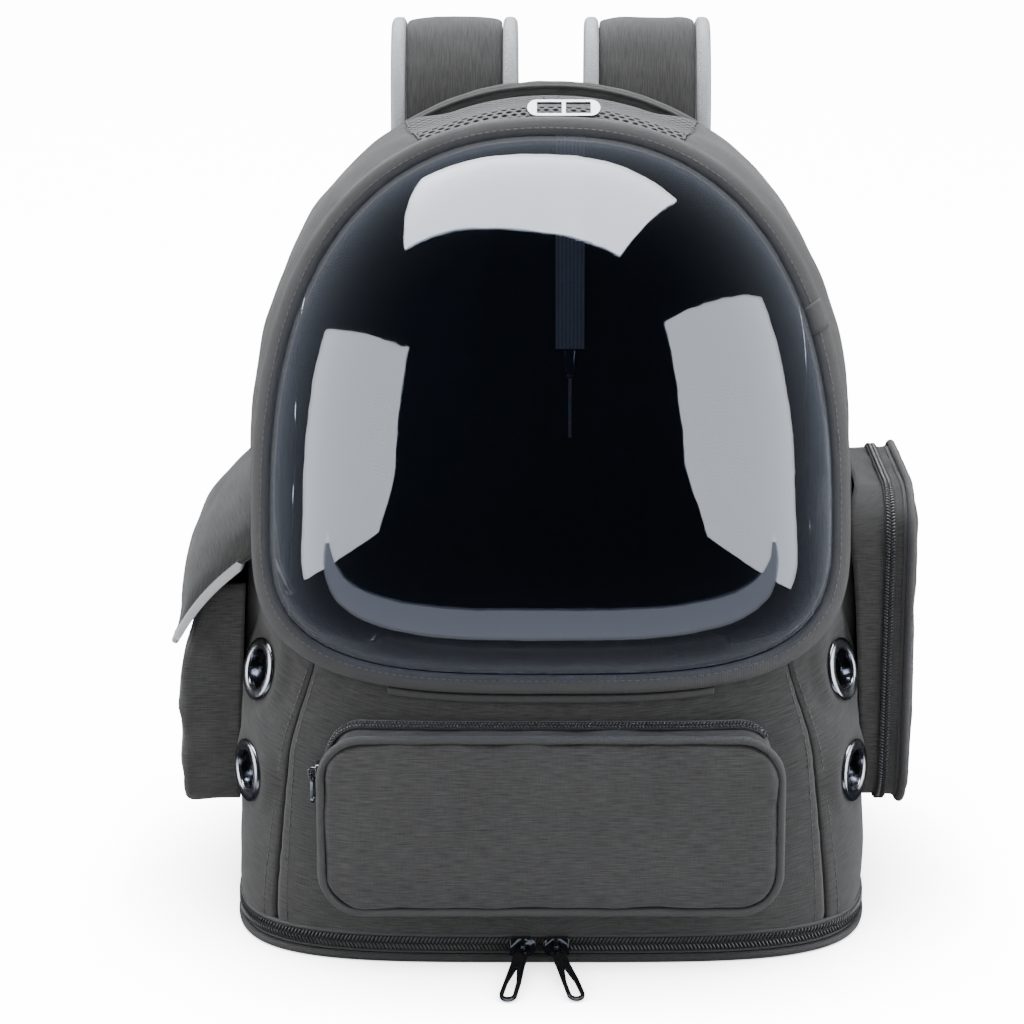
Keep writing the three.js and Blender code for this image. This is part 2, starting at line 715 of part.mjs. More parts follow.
const pipingFrames = baseTurns.map((turn) => ({
  point: basePoint(turn, 0, PIPING_RADIUS + GAP / 2),
  across: vec(Math.sin(turn), -Math.cos(turn), 0).multiplyScalar(PIPING_RADIUS),
  up: vec(0, 0, PIPING_RADIUS),
}));
add('base_piping', sweep(pipingFrames, 6, true), TRIM);

const zipBottom = TRAY_HEIGHT + GAP;
const zipFrames = rangeOf(24, -ZIP_TURN, ZIP_TURN).map((turn) => ({
  point: basePoint(turn, 1.4 - ZIP_PROUD, zipBottom + ZIP_HEIGHT / 2),
  across: vec(Math.sin(turn), -Math.cos(turn), 0).multiplyScalar(1.4),
  up: vec(0, 0, ZIP_HEIGHT / 2),
}));
add('base_zip', sweep(zipFrames, 6, false, 4), ZIP);

// Back: a padded panel inside a roll that runs up the edge and over the top
function rearFrame(angle, inset, back) {
  const edge = rearOutline(angle);
  const out = vec(Math.cos(angle), 0, Math.sin(angle));
  const point = edge.clone().addScaledVector(out, -inset);
  point.y = rearY(point.z) + back;
  return { point, out };
}

const ROLL_BACK = ROLL_RADIUS + GAP;
const rollFrames = rangeOf(30, cornerRise + 0.02, Math.PI - cornerRise - 0.02).map((angle) => {
  const { point, out } = rearFrame(angle, ROLL_INSET, ROLL_BACK);
  return { point, across: out.multiplyScalar(ROLL_RADIUS), up: vec(0, ROLL_RADIUS, 0) };
});
add('rear_roll', sweep(rollFrames, 6), CLOTH);

const PANEL_INSET = ROLL_INSET + ROLL_RADIUS + 2 * GAP;
function backRing(inset, back) {
  const arch = rangeOf(30, cornerRise, Math.PI - cornerRise)
    .map((angle) => rearFrame(angle, PANEL_INSET + inset, back).point);
  const bottom = TRAY_HEIGHT + GAP + inset * 0.3;
  return arch.map((point, i) => {
    const low = i === 0 || i === arch.length - 1;
    if (low) {
      point.z = bottom;
      point.y = rearY(bottom) + back;
    }
    return point;
  });
}
const backRings = [
  backRing(BACK_EDGE.tuck, GAP),
  backRing(0, BACK_PAD * BACK_EDGE.low),
  backRing(0, BACK_PAD * BACK_EDGE.high),
  backRing(BACK_EDGE.round, BACK_PAD),
];
add('back_panel', loft(backRings), CLOTH);

// The space inside the body's outer surface, with the room that a seated pocket leaves
function bodyRoom() {
  const share = 1.004;
  const pole = 0.04;
  const turns = rangeOf(64, 0, 2 * Math.PI).slice(0, -1);
  const rings = rangeOf(40, pole, Math.PI - pole).map((fall) => turns.map((turn) => {
    const ray = vec(Math.sin(fall) * Math.cos(turn), Math.sin(fall) * Math.sin(turn), Math.cos(fall));
    const level = bodyLevel(ray.clone().add(CENTRE));
    return ray.multiplyScalar(share / level).add(CENTRE);
  }));
  return solid(loft(rings));
}
const pocketRoom = bodyRoom()
  .add(solid(panelGrid(frontColumns, rowsOf(6), 0, 2 * GAP)))
  .add(solid(panelGrid(sideStations.map((s) => [s, -1]), rowsOf(6), 0, 2 * GAP)))
  .add(solid(panelGrid(sideStations.map((s) => [s, 1]), rowsOf(6), 0, 2 * GAP)));

// Rounded rectangle, anticlockwise from the lower right corner, as [u, v] pairs
function roundedOutline(pocket, inset, steps) {
  const radius = Math.max(1, pocket.corner - inset);
  const corners = [
    [pocket.high - inset - radius, pocket.bottom + inset + radius, -Math.PI / 2],
    [pocket.high - inset - radius, pocket.top - inset - radius, 0],
    [pocket.low + inset + radius, pocket.top - inset - radius, Math.PI / 2],
    [pocket.low + inset + radius, pocket.bottom + inset + radius, Math.PI],
  ];
  return corners.flatMap(([u, v, start]) => rangeOf(steps, start, start + Math.PI / 2)
    .map((a) => [u + radius * Math.cos(a), v + radius * Math.sin(a)]));
}

// Places that turn a pocket's own u, v and reach into the body's frame
const onFront = (u, v, reach) => vec(u, -reach + skirtLean * v, v);
const onRight = (u, v, reach) => vec(reach, u, v);
const onLeft = (u, v, reach) =>
  vec(LEFT_MOUTH_DRAW * smooth(LEFT_MOUTH_Z - LEFT_DRAW_LENGTH, LEFT_MOUTH_Z, v) - reach, u, v);

// A pocket's outer form, or the space inside its wall
function pocketSolid(pocket, place, shrink, deep) {
  const top = pocket.reach - shrink;
  const rings = [
    [shrink, deep],
    [shrink, top - POCKET_LIP],
    [shrink + POCKET_EDGE, top],
    [shrink + pocket.corner * POCKET_CROWN_SHARE, top + pocket.crown],
  ].map(([inset, reach]) => roundedOutline(pocket, inset, 4).map(([u, v]) => place(u, v, reach)));
  return solid(loft(rings));
}

function pocketShell(pocket, place, deep) {
  const outer = pocketSolid(pocket, place, 0, deep);
  const inner = pocketSolid(pocket, place, POCKET_WALL, deep - 1);
  return outer.subtract(inner).subtract(pocketRoom);
}

function pocketRun(pocket, place, offset, reach, keep = () => true) {
  return roundedOutline(pocket, -offset, 4).filter(([u, v]) => keep(u, v)).map(([u, v]) => place(u, v, reach));
}

// Frames along a run of points, flat to the pocket's face
function runFrames(points, outward, half, thick, loop) {
  return points.map((point, i) => {
    const last = points.length - 1;
    const before = points[loop ? (i + last) % points.length : Math.max(0, i - 1)];
    const after = points[loop ? (i + 1) % points.length : Math.min(last, i + 1)];
    const along = after.clone().sub(before).normalize();
    const across = along.clone().cross(outward).normalize();
    const up = outward.clone().multiplyScalar(half);
    return { point, across: across.multiplyScalar(thick), up };
  });
}

const frontward = vec(0, -1, 0);
add('front_pocket', geometryOf(pocketShell(FRONT_POCKET, onFront, FRONT_POCKET_ROOT)), CLOTH);
const frontPiping = pocketRun(FRONT_POCKET, onFront, POCKET_PIPING + GAP, FRONT_POCKET.reach - POCKET_LIP);
const frontPipingFrames = runFrames(frontPiping, frontward, POCKET_PIPING, POCKET_PIPING, true);
add('front_pocket_piping', sweep(frontPipingFrames, 6, true), TRIM);
const frontZipLow = FRONT_POCKET.top - FRONT_POCKET.corner - POCKET_ZIP_FALL;
const frontZip = pocketRun(
  FRONT_POCKET,
  onFront,
  GAP + POCKET_ZIP_THICK / 2,
  FRONT_POCKET.reach - POCKET_ZIP_BACK,
  (u, v) => v > frontZipLow + POCKET_ZIP_FALL / 2 && u < FRONT_POCKET.high - POCKET_ZIP_STOP,
);
frontZip.push(frontZip[frontZip.length - 1].clone().setZ(frontZipLow));
const frontZipFrames = runFrames(frontZip, frontward, POCKET_ZIP_WIDTH / 2, POCKET_ZIP_THICK / 2, false);
add('front_pocket_zip', sweep(frontZipFrames, 8, false, 4), ZIP);

// Right side pocket, with a zip round its gusset and a piping at each edge
const sideways = vec(1, 0, 0);
add('right_pocket', geometryOf(pocketShell(RIGHT_POCKET, onRight, SIDE_POCKET_ROOT)), CLOTH);
const rightPiping = pocketRun(RIGHT_POCKET, onRight, POCKET_PIPING + GAP, RIGHT_POCKET.reach - POCKET_LIP);
const rightPipingFrames = runFrames(rightPiping, sideways, POCKET_PIPING, POCKET_PIPING, true);
add('right_pocket_piping', sweep(rightPipingFrames, 6, true), TRIM);
const rightZip = pocketRun(
  RIGHT_POCKET,
  onRight,
  GAP + POCKET_ZIP_THICK / 2,
  RIGHT_POCKET.reach - RIGHT_ZIP_BACK,
  (u, v) => u < 0 || v > (RIGHT_POCKET.top + RIGHT_POCKET.bottom) / 2,
);
const rightZipFrames = runFrames(rightZip, sideways, POCKET_ZIP_WIDTH / 2, POCKET_ZIP_THICK / 2, false);
add('right_pocket_zip', sweep(rightZipFrames, 8, false, 4), ZIP);

// Left side pocket, open at the top under a flap
const mouthCut = new THREE.BoxGeometry(300, 400, 200);
mouthCut.translate(-200, 0, LEFT_MOUTH_Z + 100);
const leftPocket = pocketShell(LEFT_POCKET, onLeft, SIDE_POCKET_ROOT).subtract(solid(mouthCut));
add('left_pocket', geometryOf(leftPocket), CLOTH);

function flapPoint(u, v, side, lift) {
  const y = mix(LEFT_POCKET.low - FLAP_OVERHANG, LEFT_POCKET.high + FLAP_OVERHANG, u);
  const hood = Math.pow(Math.max(0, Math.sin(Math.PI * u)), FLAP_HOOD_POWER);
  const topZ = mix(FLAP_END_Z, FLAP_TOP_Z, hood);
  const start = bodyHit(vec(0, y, topZ), vec(1, 0, 0));
  const end = vec(FLAP_REACH, y, FLAP_EDGE_Z);
  const bulge = FLAP_BULGE * Math.sin(Math.PI * v) * mix(FLAP_END_BULGE, 1, hood);
  const out = vec(FLAP_TOP_Z - FLAP_EDGE_Z, 0, FLAP_REACH - BODY_HALF_WIDTH).normalize();
  const point = start.lerp(end, v).addScaledVector(out, bulge + lift);
  point.x = side * (point.x - FLAP_TUCK * Math.pow(1 - v, 2));
  return point;
}

const flapStations = rangeOf(10, 0, Math.PI).map((angle) => (1 - Math.cos(angle)) / 2);
const flapGrid = (lift) => flapStations.map((u) => rangeOf(5, 0, 1).map((v) => flapPoint(u, v, -1, lift)));
const flap = solid(wall(flapGrid(FLAP_THICK), flapGrid(0))).subtract(pocketRoom);
add('left_flap', geometryOf(flap), CLOTH);

const flapEdge = [
  ...rangeOf(4, FLAP_SEAM_SHARE, 1).map((v) => [0, v]),
  ...rangeOf(7, 0, 1).slice(1, -1).map((u) => [u, 1]),
  ...rangeOf(4, 1, FLAP_SEAM_SHARE).map((v) => [1, v]),
];
const flapOut = flapPoint(0.5, 0, -1, 1).sub(flapPoint(0.5, 0, -1, 0)).normalize();
const flapFrames = flapEdge.map(([u, v]) => {
  const point = flapPoint(u, v, -1, FLAP_THICK / 2);
  const out = vec(0, u === 0 ? -1 : 0, 0);
  if (u === 1) out.y = 1;
  if (v === 1) out.z = -1;
  out.normalize();
  point.addScaledVector(out, FLAP_BINDING + GAP);
  const up = flapOut.clone().addScaledVector(out, -flapOut.dot(out)).normalize();
  return { point, across: out.multiplyScalar(FLAP_BINDING), up: up.multiplyScalar(FLAP_THICK * 0.7) };
});
add('left_flap_binding', sweep(flapFrames, 6), PALE_TRIM);

// Zip slider lying in its own plane: x along the zip, y up, z out of the cloth
function sliderGeometry(nose, archTurn = Math.PI / 2) {
  const half = SLIDER.length / 2;
  const high = SLIDER.height / 2;
  const outline = new THREE.Shape();
  outline.moveTo(-half, -high + SLIDER.chamfer);
  outline.lineTo(-half + SLIDER.chamfer, -high);
  outline.lineTo(half - SLIDER.nose, -high);
  outline.quadraticCurveTo(half, -high * SLIDER.noseShare, half, 0);
  outline.quadraticCurveTo(half, high * SLIDER.noseShare, half - SLIDER.nose, high);
  outline.lineTo(-half + SLIDER.chamfer, high);
  outline.lineTo(-half, high - SLIDER.chamfer);
  const settings = { depth: SLIDER.thick, bevelEnabled: false, curveSegments: 4 };
  const plate = solid(new THREE.ExtrudeGeometry(outline, settings));
  const arch = new THREE.Shape();
  const span = BRIDGE.span / 2;
  const inner = span - BRIDGE.thick;
  const corner = span - BRIDGE.shoulder;
  const hollow = inner - BRIDGE.bend;
  arch.moveTo(-span, -BRIDGE.sink);
  arch.lineTo(-span, BRIDGE.rise - BRIDGE.bend);
  arch.lineTo(-corner, BRIDGE.rise + BRIDGE.thick);
  arch.lineTo(corner, BRIDGE.rise + BRIDGE.thick);
  arch.lineTo(span, BRIDGE.rise - BRIDGE.bend);
  arch.lineTo(span, -BRIDGE.sink);
  arch.lineTo(inner, -BRIDGE.sink);
  arch.lineTo(inner, BRIDGE.rise - BRIDGE.bend);
  arch.lineTo(hollow, BRIDGE.rise);
  arch.lineTo(-hollow, BRIDGE.rise);
  arch.lineTo(-inner, BRIDGE.rise - BRIDGE.bend);
  arch.lineTo(-inner, -BRIDGE.sink);
  const bridge = new THREE.ExtrudeGeometry(arch, { depth: BRIDGE.width, bevelEnabled: false });
  bridge.translate(0, 0, -BRIDGE.width / 2);
  bridge.rotateX(Math.PI / 2);
  bridge.rotateZ(archTurn);
  bridge.translate(0, 0, SLIDER.thick);
  const geometry = geometryOf(plate.add(solid(bridge)));
  if (nose < 0) geometry.rotateZ(Math.PI);
  return geometry;
}

// Pull hanging from its bar along +x, its length down -y, flat in the xy plane
function pullGeometry(length, width, thick) {
  const half = width / 2;
  const bar = PULL_BAR / 2;
  const eyeHalf = half * PULL_EYE.share;
  const eyeEnd = -bar - PULL_EYE.length;
  const outline = new THREE.Shape();
  outline.moveTo(-half * PULL_SHAPE.head, bar);
  outline.lineTo(half * PULL_SHAPE.head, bar);
  outline.lineTo(half * PULL_SHAPE.neck, -PULL_EYE.length);
  outline.lineTo(half * PULL_SHAPE.waist, -length * PULL_SHAPE.waistAt);
  outline.lineTo(half, -length * PULL_SHAPE.hipAt);
  outline.absarc(0, -length + half + bar, half, 0, -Math.PI, true);
  outline.lineTo(-half * PULL_SHAPE.waist, -length * PULL_SHAPE.waistAt);
  outline.lineTo(-half * PULL_SHAPE.neck, -PULL_EYE.length);
  const eye = new THREE.Path();
  eye.moveTo(-eyeHalf, -bar);
  eye.lineTo(-eyeHalf, eyeEnd);
  eye.lineTo(eyeHalf, eyeEnd);
  eye.lineTo(eyeHalf, -bar);
  const hole = new THREE.Path();
  hole.moveTo(0, mix(eyeEnd, -length, PULL_HOLE.from));
  hole.lineTo(-half * PULL_HOLE.side, mix(eyeEnd, -length, PULL_HOLE.to));
  hole.absarc(0, -length + half + bar, half * PULL_HOLE.end, Math.PI, 2 * Math.PI, false);
  hole.lineTo(half * PULL_HOLE.side, mix(eyeEnd, -length, PULL_HOLE.to));
  outline.holes.push(eye, hole);
  const plate = new THREE.ExtrudeGeometry(outline, { depth: thick, bevelEnabled: false, curveSegments: 5 });
  plate.translate(0, 0, -thick / 2);
  return plate;
}

const zipFront = basePoint(0, 0, 0).y - ZIP_PROUD - GAP;
const zipMiddleZ = zipBottom + ZIP_HEIGHT / 2;
const pullDip = Math.asin((zipMiddleZ - PULL_THICK / 2 - 2 * GAP) / PULL_LENGTH);
for (const item of BASE_SLIDERS) {
  const slider = sliderGeometry(item.nose);
  slider.rotateX(Math.PI / 2);
  slider.translate(item.x, zipFront, zipMiddleZ);
  add(`base_slider_${item.side}`, slider, BLACK_METAL);
  const pull = pullGeometry(PULL_LENGTH, PULL_WIDTH, PULL_THICK);
  pull.rotateX(pullDip);
  pull.rotateZ(item.yaw);
  pull.translate(item.x, zipFront - SLIDER.thick - AXIS_RISE, zipMiddleZ);
  add(`base_pull_${item.side}`, pull, BLACK_METAL);
}

// Front pocket's slider at the lower end of its zip, with a small pull hanging from it
const sideSlider = sliderGeometry(1, 0);
sideSlider.scale(SMALL, SMALL, SMALL);
const downTheZip = new THREE.Matrix4().makeBasis(vec(0, 0, -1), vec(0, -1, 0), vec(-1, 0, 0));
const sideSeat = onFront(
  -FRONT_POCKET.high - 2 * GAP - POCKET_ZIP_THICK,
  frontZipLow + (SLIDER.length * SMALL) / 2,
  FRONT_POCKET.reach - POCKET_ZIP_BACK,
);
sideSlider.applyMatrix4(downTheZip);
sideSlider.translate(sideSeat.x, sideSeat.y, sideSeat.z);
add('front_pocket_slider', sideSlider, GUNMETAL);
const sidePull = pullGeometry(SIDE_PULL.length, SIDE_PULL.width, SIDE_PULL.thick);
sidePull.rotateX(Math.PI / 2);
sidePull.rotateZ(Math.PI / 2 - SIDE_PULL.yaw);
sidePull.translate(sideSeat.x - (SLIDER.thick + SIDE_PULL.rise) * SMALL, sideSeat.y, sideSeat.z);
add('front_pocket_pull', sidePull, GUNMETAL);

// Shoulder straps: a padded band between two pale bindings, up over the top and down behind
const strapCurve = new THREE.CatmullRomCurve3(STRAP_ROUTE.map(({ back, z }) =>
  vec(0, BODY_HALF_DEPTH - BACK_LEAN * z - BACK_LENGTH_SPARE + 2 * GAP + STRAP_THICK / 2 + back, z)));

function strapFrames(x, width, thick, count) {
  return rangeOf(count, 0, 1).map((t) => {
    const point = strapCurve.getPoint(t);
    const along = strapCurve.getTangent(t);
    const up = vec(1, 0, 0).cross(along).normalize();
    point.x = x;
    return { point, across: vec(width / 2, 0, 0), up: up.multiplyScalar(thick / 2) };
  });
}

const padWidth = STRAP_WIDTH - 2 * STRAP_BINDING - 2 * GAP;
const bindingOffset = (STRAP_WIDTH - STRAP_BINDING) / 2;
for (const [name, side] of [['left', -1], ['right', 1]]) {
  const x = side * STRAP_MIDDLE_X;
  add(`strap_${name}`, sweep(strapFrames(x, padWidth, STRAP_THICK, STRAP_STEPS), 8, false, 8), CLOTH);
  const inner = strapFrames(x - side * bindingOffset, STRAP_BINDING, STRAP_THICK, STRAP_STEPS);
  const outer = strapFrames(x + side * bindingOffset, STRAP_BINDING, STRAP_THICK, STRAP_STEPS);
  add(`strap_binding_${name}_inner`, sweep(inner, 6, false, 4), PALE_TRIM);
  add(`strap_binding_${name}_outer`, sweep(outer, 6, false, 4), PALE_TRIM);
  const end = strapCurve.getPoint(1);
  const foot = vec(side * WEBBING_FOOT.x, 0, WEBBING_FOOT.z);
  foot.y = BODY_HALF_DEPTH - BACK_LEAN * foot.z - BACK_LENGTH_SPARE + 2 * GAP + WEBBING_THICK / 2;
  const start = end.clone().addScaledVector(strapCurve.getTangent(1), 2 * GAP + WEBBING_THICK / 2).setX(x);
  const route = new THREE.CatmullRomCurve3([
    start,
    ...WEBBING_BENDS.map((bend) =>
      vec(mix(x, foot.x, bend.x), mix(start.y, foot.y, bend.y), mix(start.z, foot.z, bend.z))),
    foot,
  ]);
  const webbing = rangeOf(8, 0, 1).map((t) => {
    const along = route.getTangent(t);
    const up = vec(1, 0, 0).cross(along).normalize();
    const across = vec(WEBBING_WIDTH / 2, 0, 0);
    return { point: route.getPoint(t), across, up: up.multiplyScalar(WEBBING_THICK / 2) };
  });
  add(`strap_webbing_${name}`, sweep(webbing, 8, false, 6), TRIM);
}

// Height of the mesh top over a point, outer face
function meshHeight(x, y) {
  const s = 0.5 + Math.acos(Math.pow(Math.abs(x) / WINDOW_HALF_WIDTH, WINDOW_HIGH_POWER / 2)) / Math.PI;
  let front = 0;
  let back = 1;
  for (let step = 0; step < 30; step += 1) {
    const middle = (front + back) / 2;
    if (shellPoint(s, middle, 1).y < y) front = middle;
    else back = middle;
  }
  return shellPoint(s, front, 1).z;
}

// Leash inside: ribbed webbing from the top, a clip at its end and a thin cord below
const leashTop = meshHeight(LEASH.x + LEASH.width / 2, LEASH.y) - WALL - 2 * GAP;
const leashWebbing = new THREE.BoxGeometry(LEASH.width, LEASH.thick, leashTop - LEASH.bottom);
leashWebbing.translate(LEASH.x, LEASH.y, (leashTop + LEASH.bottom) / 2);
add('leash_webbing', leashWebbing, TRIM);
const clipTop = LEASH.bottom - GAP;
const leashClip = new THREE.CylinderGeometry(LEASH_CLIP.top / 2, LEASH_CLIP.foot / 2, LEASH_CLIP.height, 10);
leashClip.rotateX(Math.PI / 2);
leashClip.scale(1, LEASH_CLIP.thick / LEASH_CLIP.top, 1);
leashClip.translate(LEASH.x, LEASH.y, clipTop - LEASH_CLIP.height / 2);
add('leash_clip', leashClip, BLACK_METAL);
const cordTop = clipTop - LEASH_CLIP.height - GAP;
const cordFrames = [0, 0.5, 1].map((t) => ({
  point: vec(LEASH.x, LEASH.y, cordTop - t * LEASH_CORD.drop),
  across: vec(LEASH_CORD.radius, 0, 0),
  up: vec(0, LEASH_CORD.radius, 0),
}));
add('leash_tail', sweep(cordFrames, 8), TRIM);

// Plain slide with two windows on the mesh top, just behind the window binding
function topSlide() {
  const half = TOP_SLIDE.width / 2;
  const high = TOP_SLIDE.height / 2;
  const outline = new THREE.Shape();
  const end = half - TOP_SLIDE.corner;
  outline.absellipse(end, 0, TOP_SLIDE.corner, high, -Math.PI / 2, Math.PI / 2, false);
  outline.absellipse(-end, 0, TOP_SLIDE.corner, high, Math.PI / 2, (3 * Math.PI) / 2, false);
  const settings = { depth: TOP_SLIDE.thick, bevelEnabled: false, curveSegments: 4 };
  const whole = new THREE.ExtrudeGeometry(outline, settings);
  const opening = end - TOP_SLIDE.bar / 2;
  let ring = solid(whole);
  for (const side of [-1, 1]) {
    const window = new THREE.BoxGeometry(opening, TOP_SLIDE.height - 2 * TOP_SLIDE.bar, 4 * TOP_SLIDE.thick);
    window.translate((side * (TOP_SLIDE.bar + opening)) / 2, 0, 0);
    ring = ring.subtract(solid(window));
  }
  const plate = geometryOf(ring);
  plate.rotateX(TOP_SLIDE.tilt);
  const rests = rangeOf(6, -high - TOP_SLIDE.thick, high).map((across) =>
    meshHeight(1, TOP_SLIDE.y + across * Math.cos(TOP_SLIDE.tilt)) - across * Math.sin(TOP_SLIDE.tilt));
  plate.translate(TOP_SLIDE.x, TOP_SLIDE.y, Math.max(...rests) + 2 * GAP);
  return plate;
}
add('top_slide', topSlide(), GUNMETAL);

export default backpack;
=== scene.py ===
"""Looks of a bubble pet carrier backpack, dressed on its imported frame.

Sizes are in millimetres here and become metres when a mesh is made. The front faces -Y.
Each sub-assembly is a class that makes its own pieces. main() builds them in order.
"""
import json
import logging
import math
from dataclasses import dataclass, field
from enum import Enum
from typing import Callable

import bpy
import numpy as np
from mathutils import Matrix, Vector

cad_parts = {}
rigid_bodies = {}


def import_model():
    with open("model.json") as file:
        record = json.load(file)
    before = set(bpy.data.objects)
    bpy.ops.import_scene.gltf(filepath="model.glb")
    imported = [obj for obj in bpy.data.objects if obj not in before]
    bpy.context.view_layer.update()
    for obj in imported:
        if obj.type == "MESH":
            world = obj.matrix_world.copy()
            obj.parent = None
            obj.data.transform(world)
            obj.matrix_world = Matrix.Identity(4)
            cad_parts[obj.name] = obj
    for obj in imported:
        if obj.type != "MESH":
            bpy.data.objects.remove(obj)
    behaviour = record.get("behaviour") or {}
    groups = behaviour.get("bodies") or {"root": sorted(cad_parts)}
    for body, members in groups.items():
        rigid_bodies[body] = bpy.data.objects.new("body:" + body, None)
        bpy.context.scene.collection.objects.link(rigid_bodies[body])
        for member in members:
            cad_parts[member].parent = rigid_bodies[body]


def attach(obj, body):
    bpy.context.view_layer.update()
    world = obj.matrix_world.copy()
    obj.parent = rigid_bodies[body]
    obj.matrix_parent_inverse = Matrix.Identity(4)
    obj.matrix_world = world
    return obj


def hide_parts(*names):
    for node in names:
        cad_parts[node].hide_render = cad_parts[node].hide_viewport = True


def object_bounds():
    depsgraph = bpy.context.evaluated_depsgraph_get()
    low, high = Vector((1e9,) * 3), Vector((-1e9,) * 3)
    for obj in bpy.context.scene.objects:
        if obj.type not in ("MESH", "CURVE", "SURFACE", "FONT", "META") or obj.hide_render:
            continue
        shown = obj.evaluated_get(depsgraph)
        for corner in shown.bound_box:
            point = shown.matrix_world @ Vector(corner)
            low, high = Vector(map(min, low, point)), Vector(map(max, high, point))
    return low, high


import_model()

Array = np.ndarray
LOG = logging.getLogger("backpack")
MM = 0.001
CAD_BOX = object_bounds()


class Side(Enum):
    """Left or right, as seen from the front."""

    LEFT = -1
    RIGHT = 1


# Shape of the body and its window, the same formulas and sizes as the solids have


@dataclass(frozen=True)
class BodySize:
    """Sizes of the body's outer surface."""

    half_width: float = 160.0
    half_depth: float = 125.0
    height: float = 435.0
    flare: float = 11.0
    widest_z: float = 254.0
    corner_power: float = 3.9
    top_corner_power: float = 14.0
    arch_power: float = 2.1
    rear_power: float = 9.0
    hem_power: float = 22.0
    back_lean: float = 0.07
    wall: float = 3.0
    gap: float = 0.3
    shell_bottom: float = 15.1
    rear_edge: float = 14.0
    mesh_half_width: float = 66.0
    mesh_dip: float = 9.0
    corner_s: float = 0.42
    front_seam_s: float = 0.228


@dataclass(frozen=True)
class WindowSize:
    """Sizes of the window's outline, its bubble and its binding."""

    half_width: float = 155.0
    widest_z: float = 230.0
    bottom_z: float = 146.0
    top_z: float = 427.0
    bottom_y: float = -116.0
    top_y: float = -24.0
    wrap: float = 24.0
    wrap_power: float = 2.6
    low_power: float = 3.75
    high_power: float = 2.35
    bulge: float = 82.0
    dome_wall: float = 1.6
    dome_edge: float = 9.6
    binding_width: float = 9.0
    binding_thick: float = 7.0
    cloth_under: float = 0.55


BODY = BodySize()
WINDOW = WindowSize()
CENTRE = np.array([0.0, 0.0, BODY.widest_z])


def mix(a: Array, b: Array, t: Array) -> Array:
    """Value a share t of the way from a to b."""
    return a + (b - a) * t


def smooth(low: float, high: float, value: Array) -> Array:
    """Soft step from 0 at low to 1 at high."""
    t = np.clip((value - low) / (high - low), 0.0, 1.0)
    return t * t * (3.0 - 2.0 * t)


def unit(vectors: Array) -> Array:
    """Vectors scaled to length 1."""
    return vectors / np.maximum(np.linalg.norm(vectors, axis=-1, keepdims=True), 1e-9)


def norm(power: Array, *terms: Array) -> Array:
    """Power mean that joins several flat limits with rounded corners."""
    total = sum(np.maximum(term, 0.0) ** power for term in terms)
    return total ** (1.0 / power)


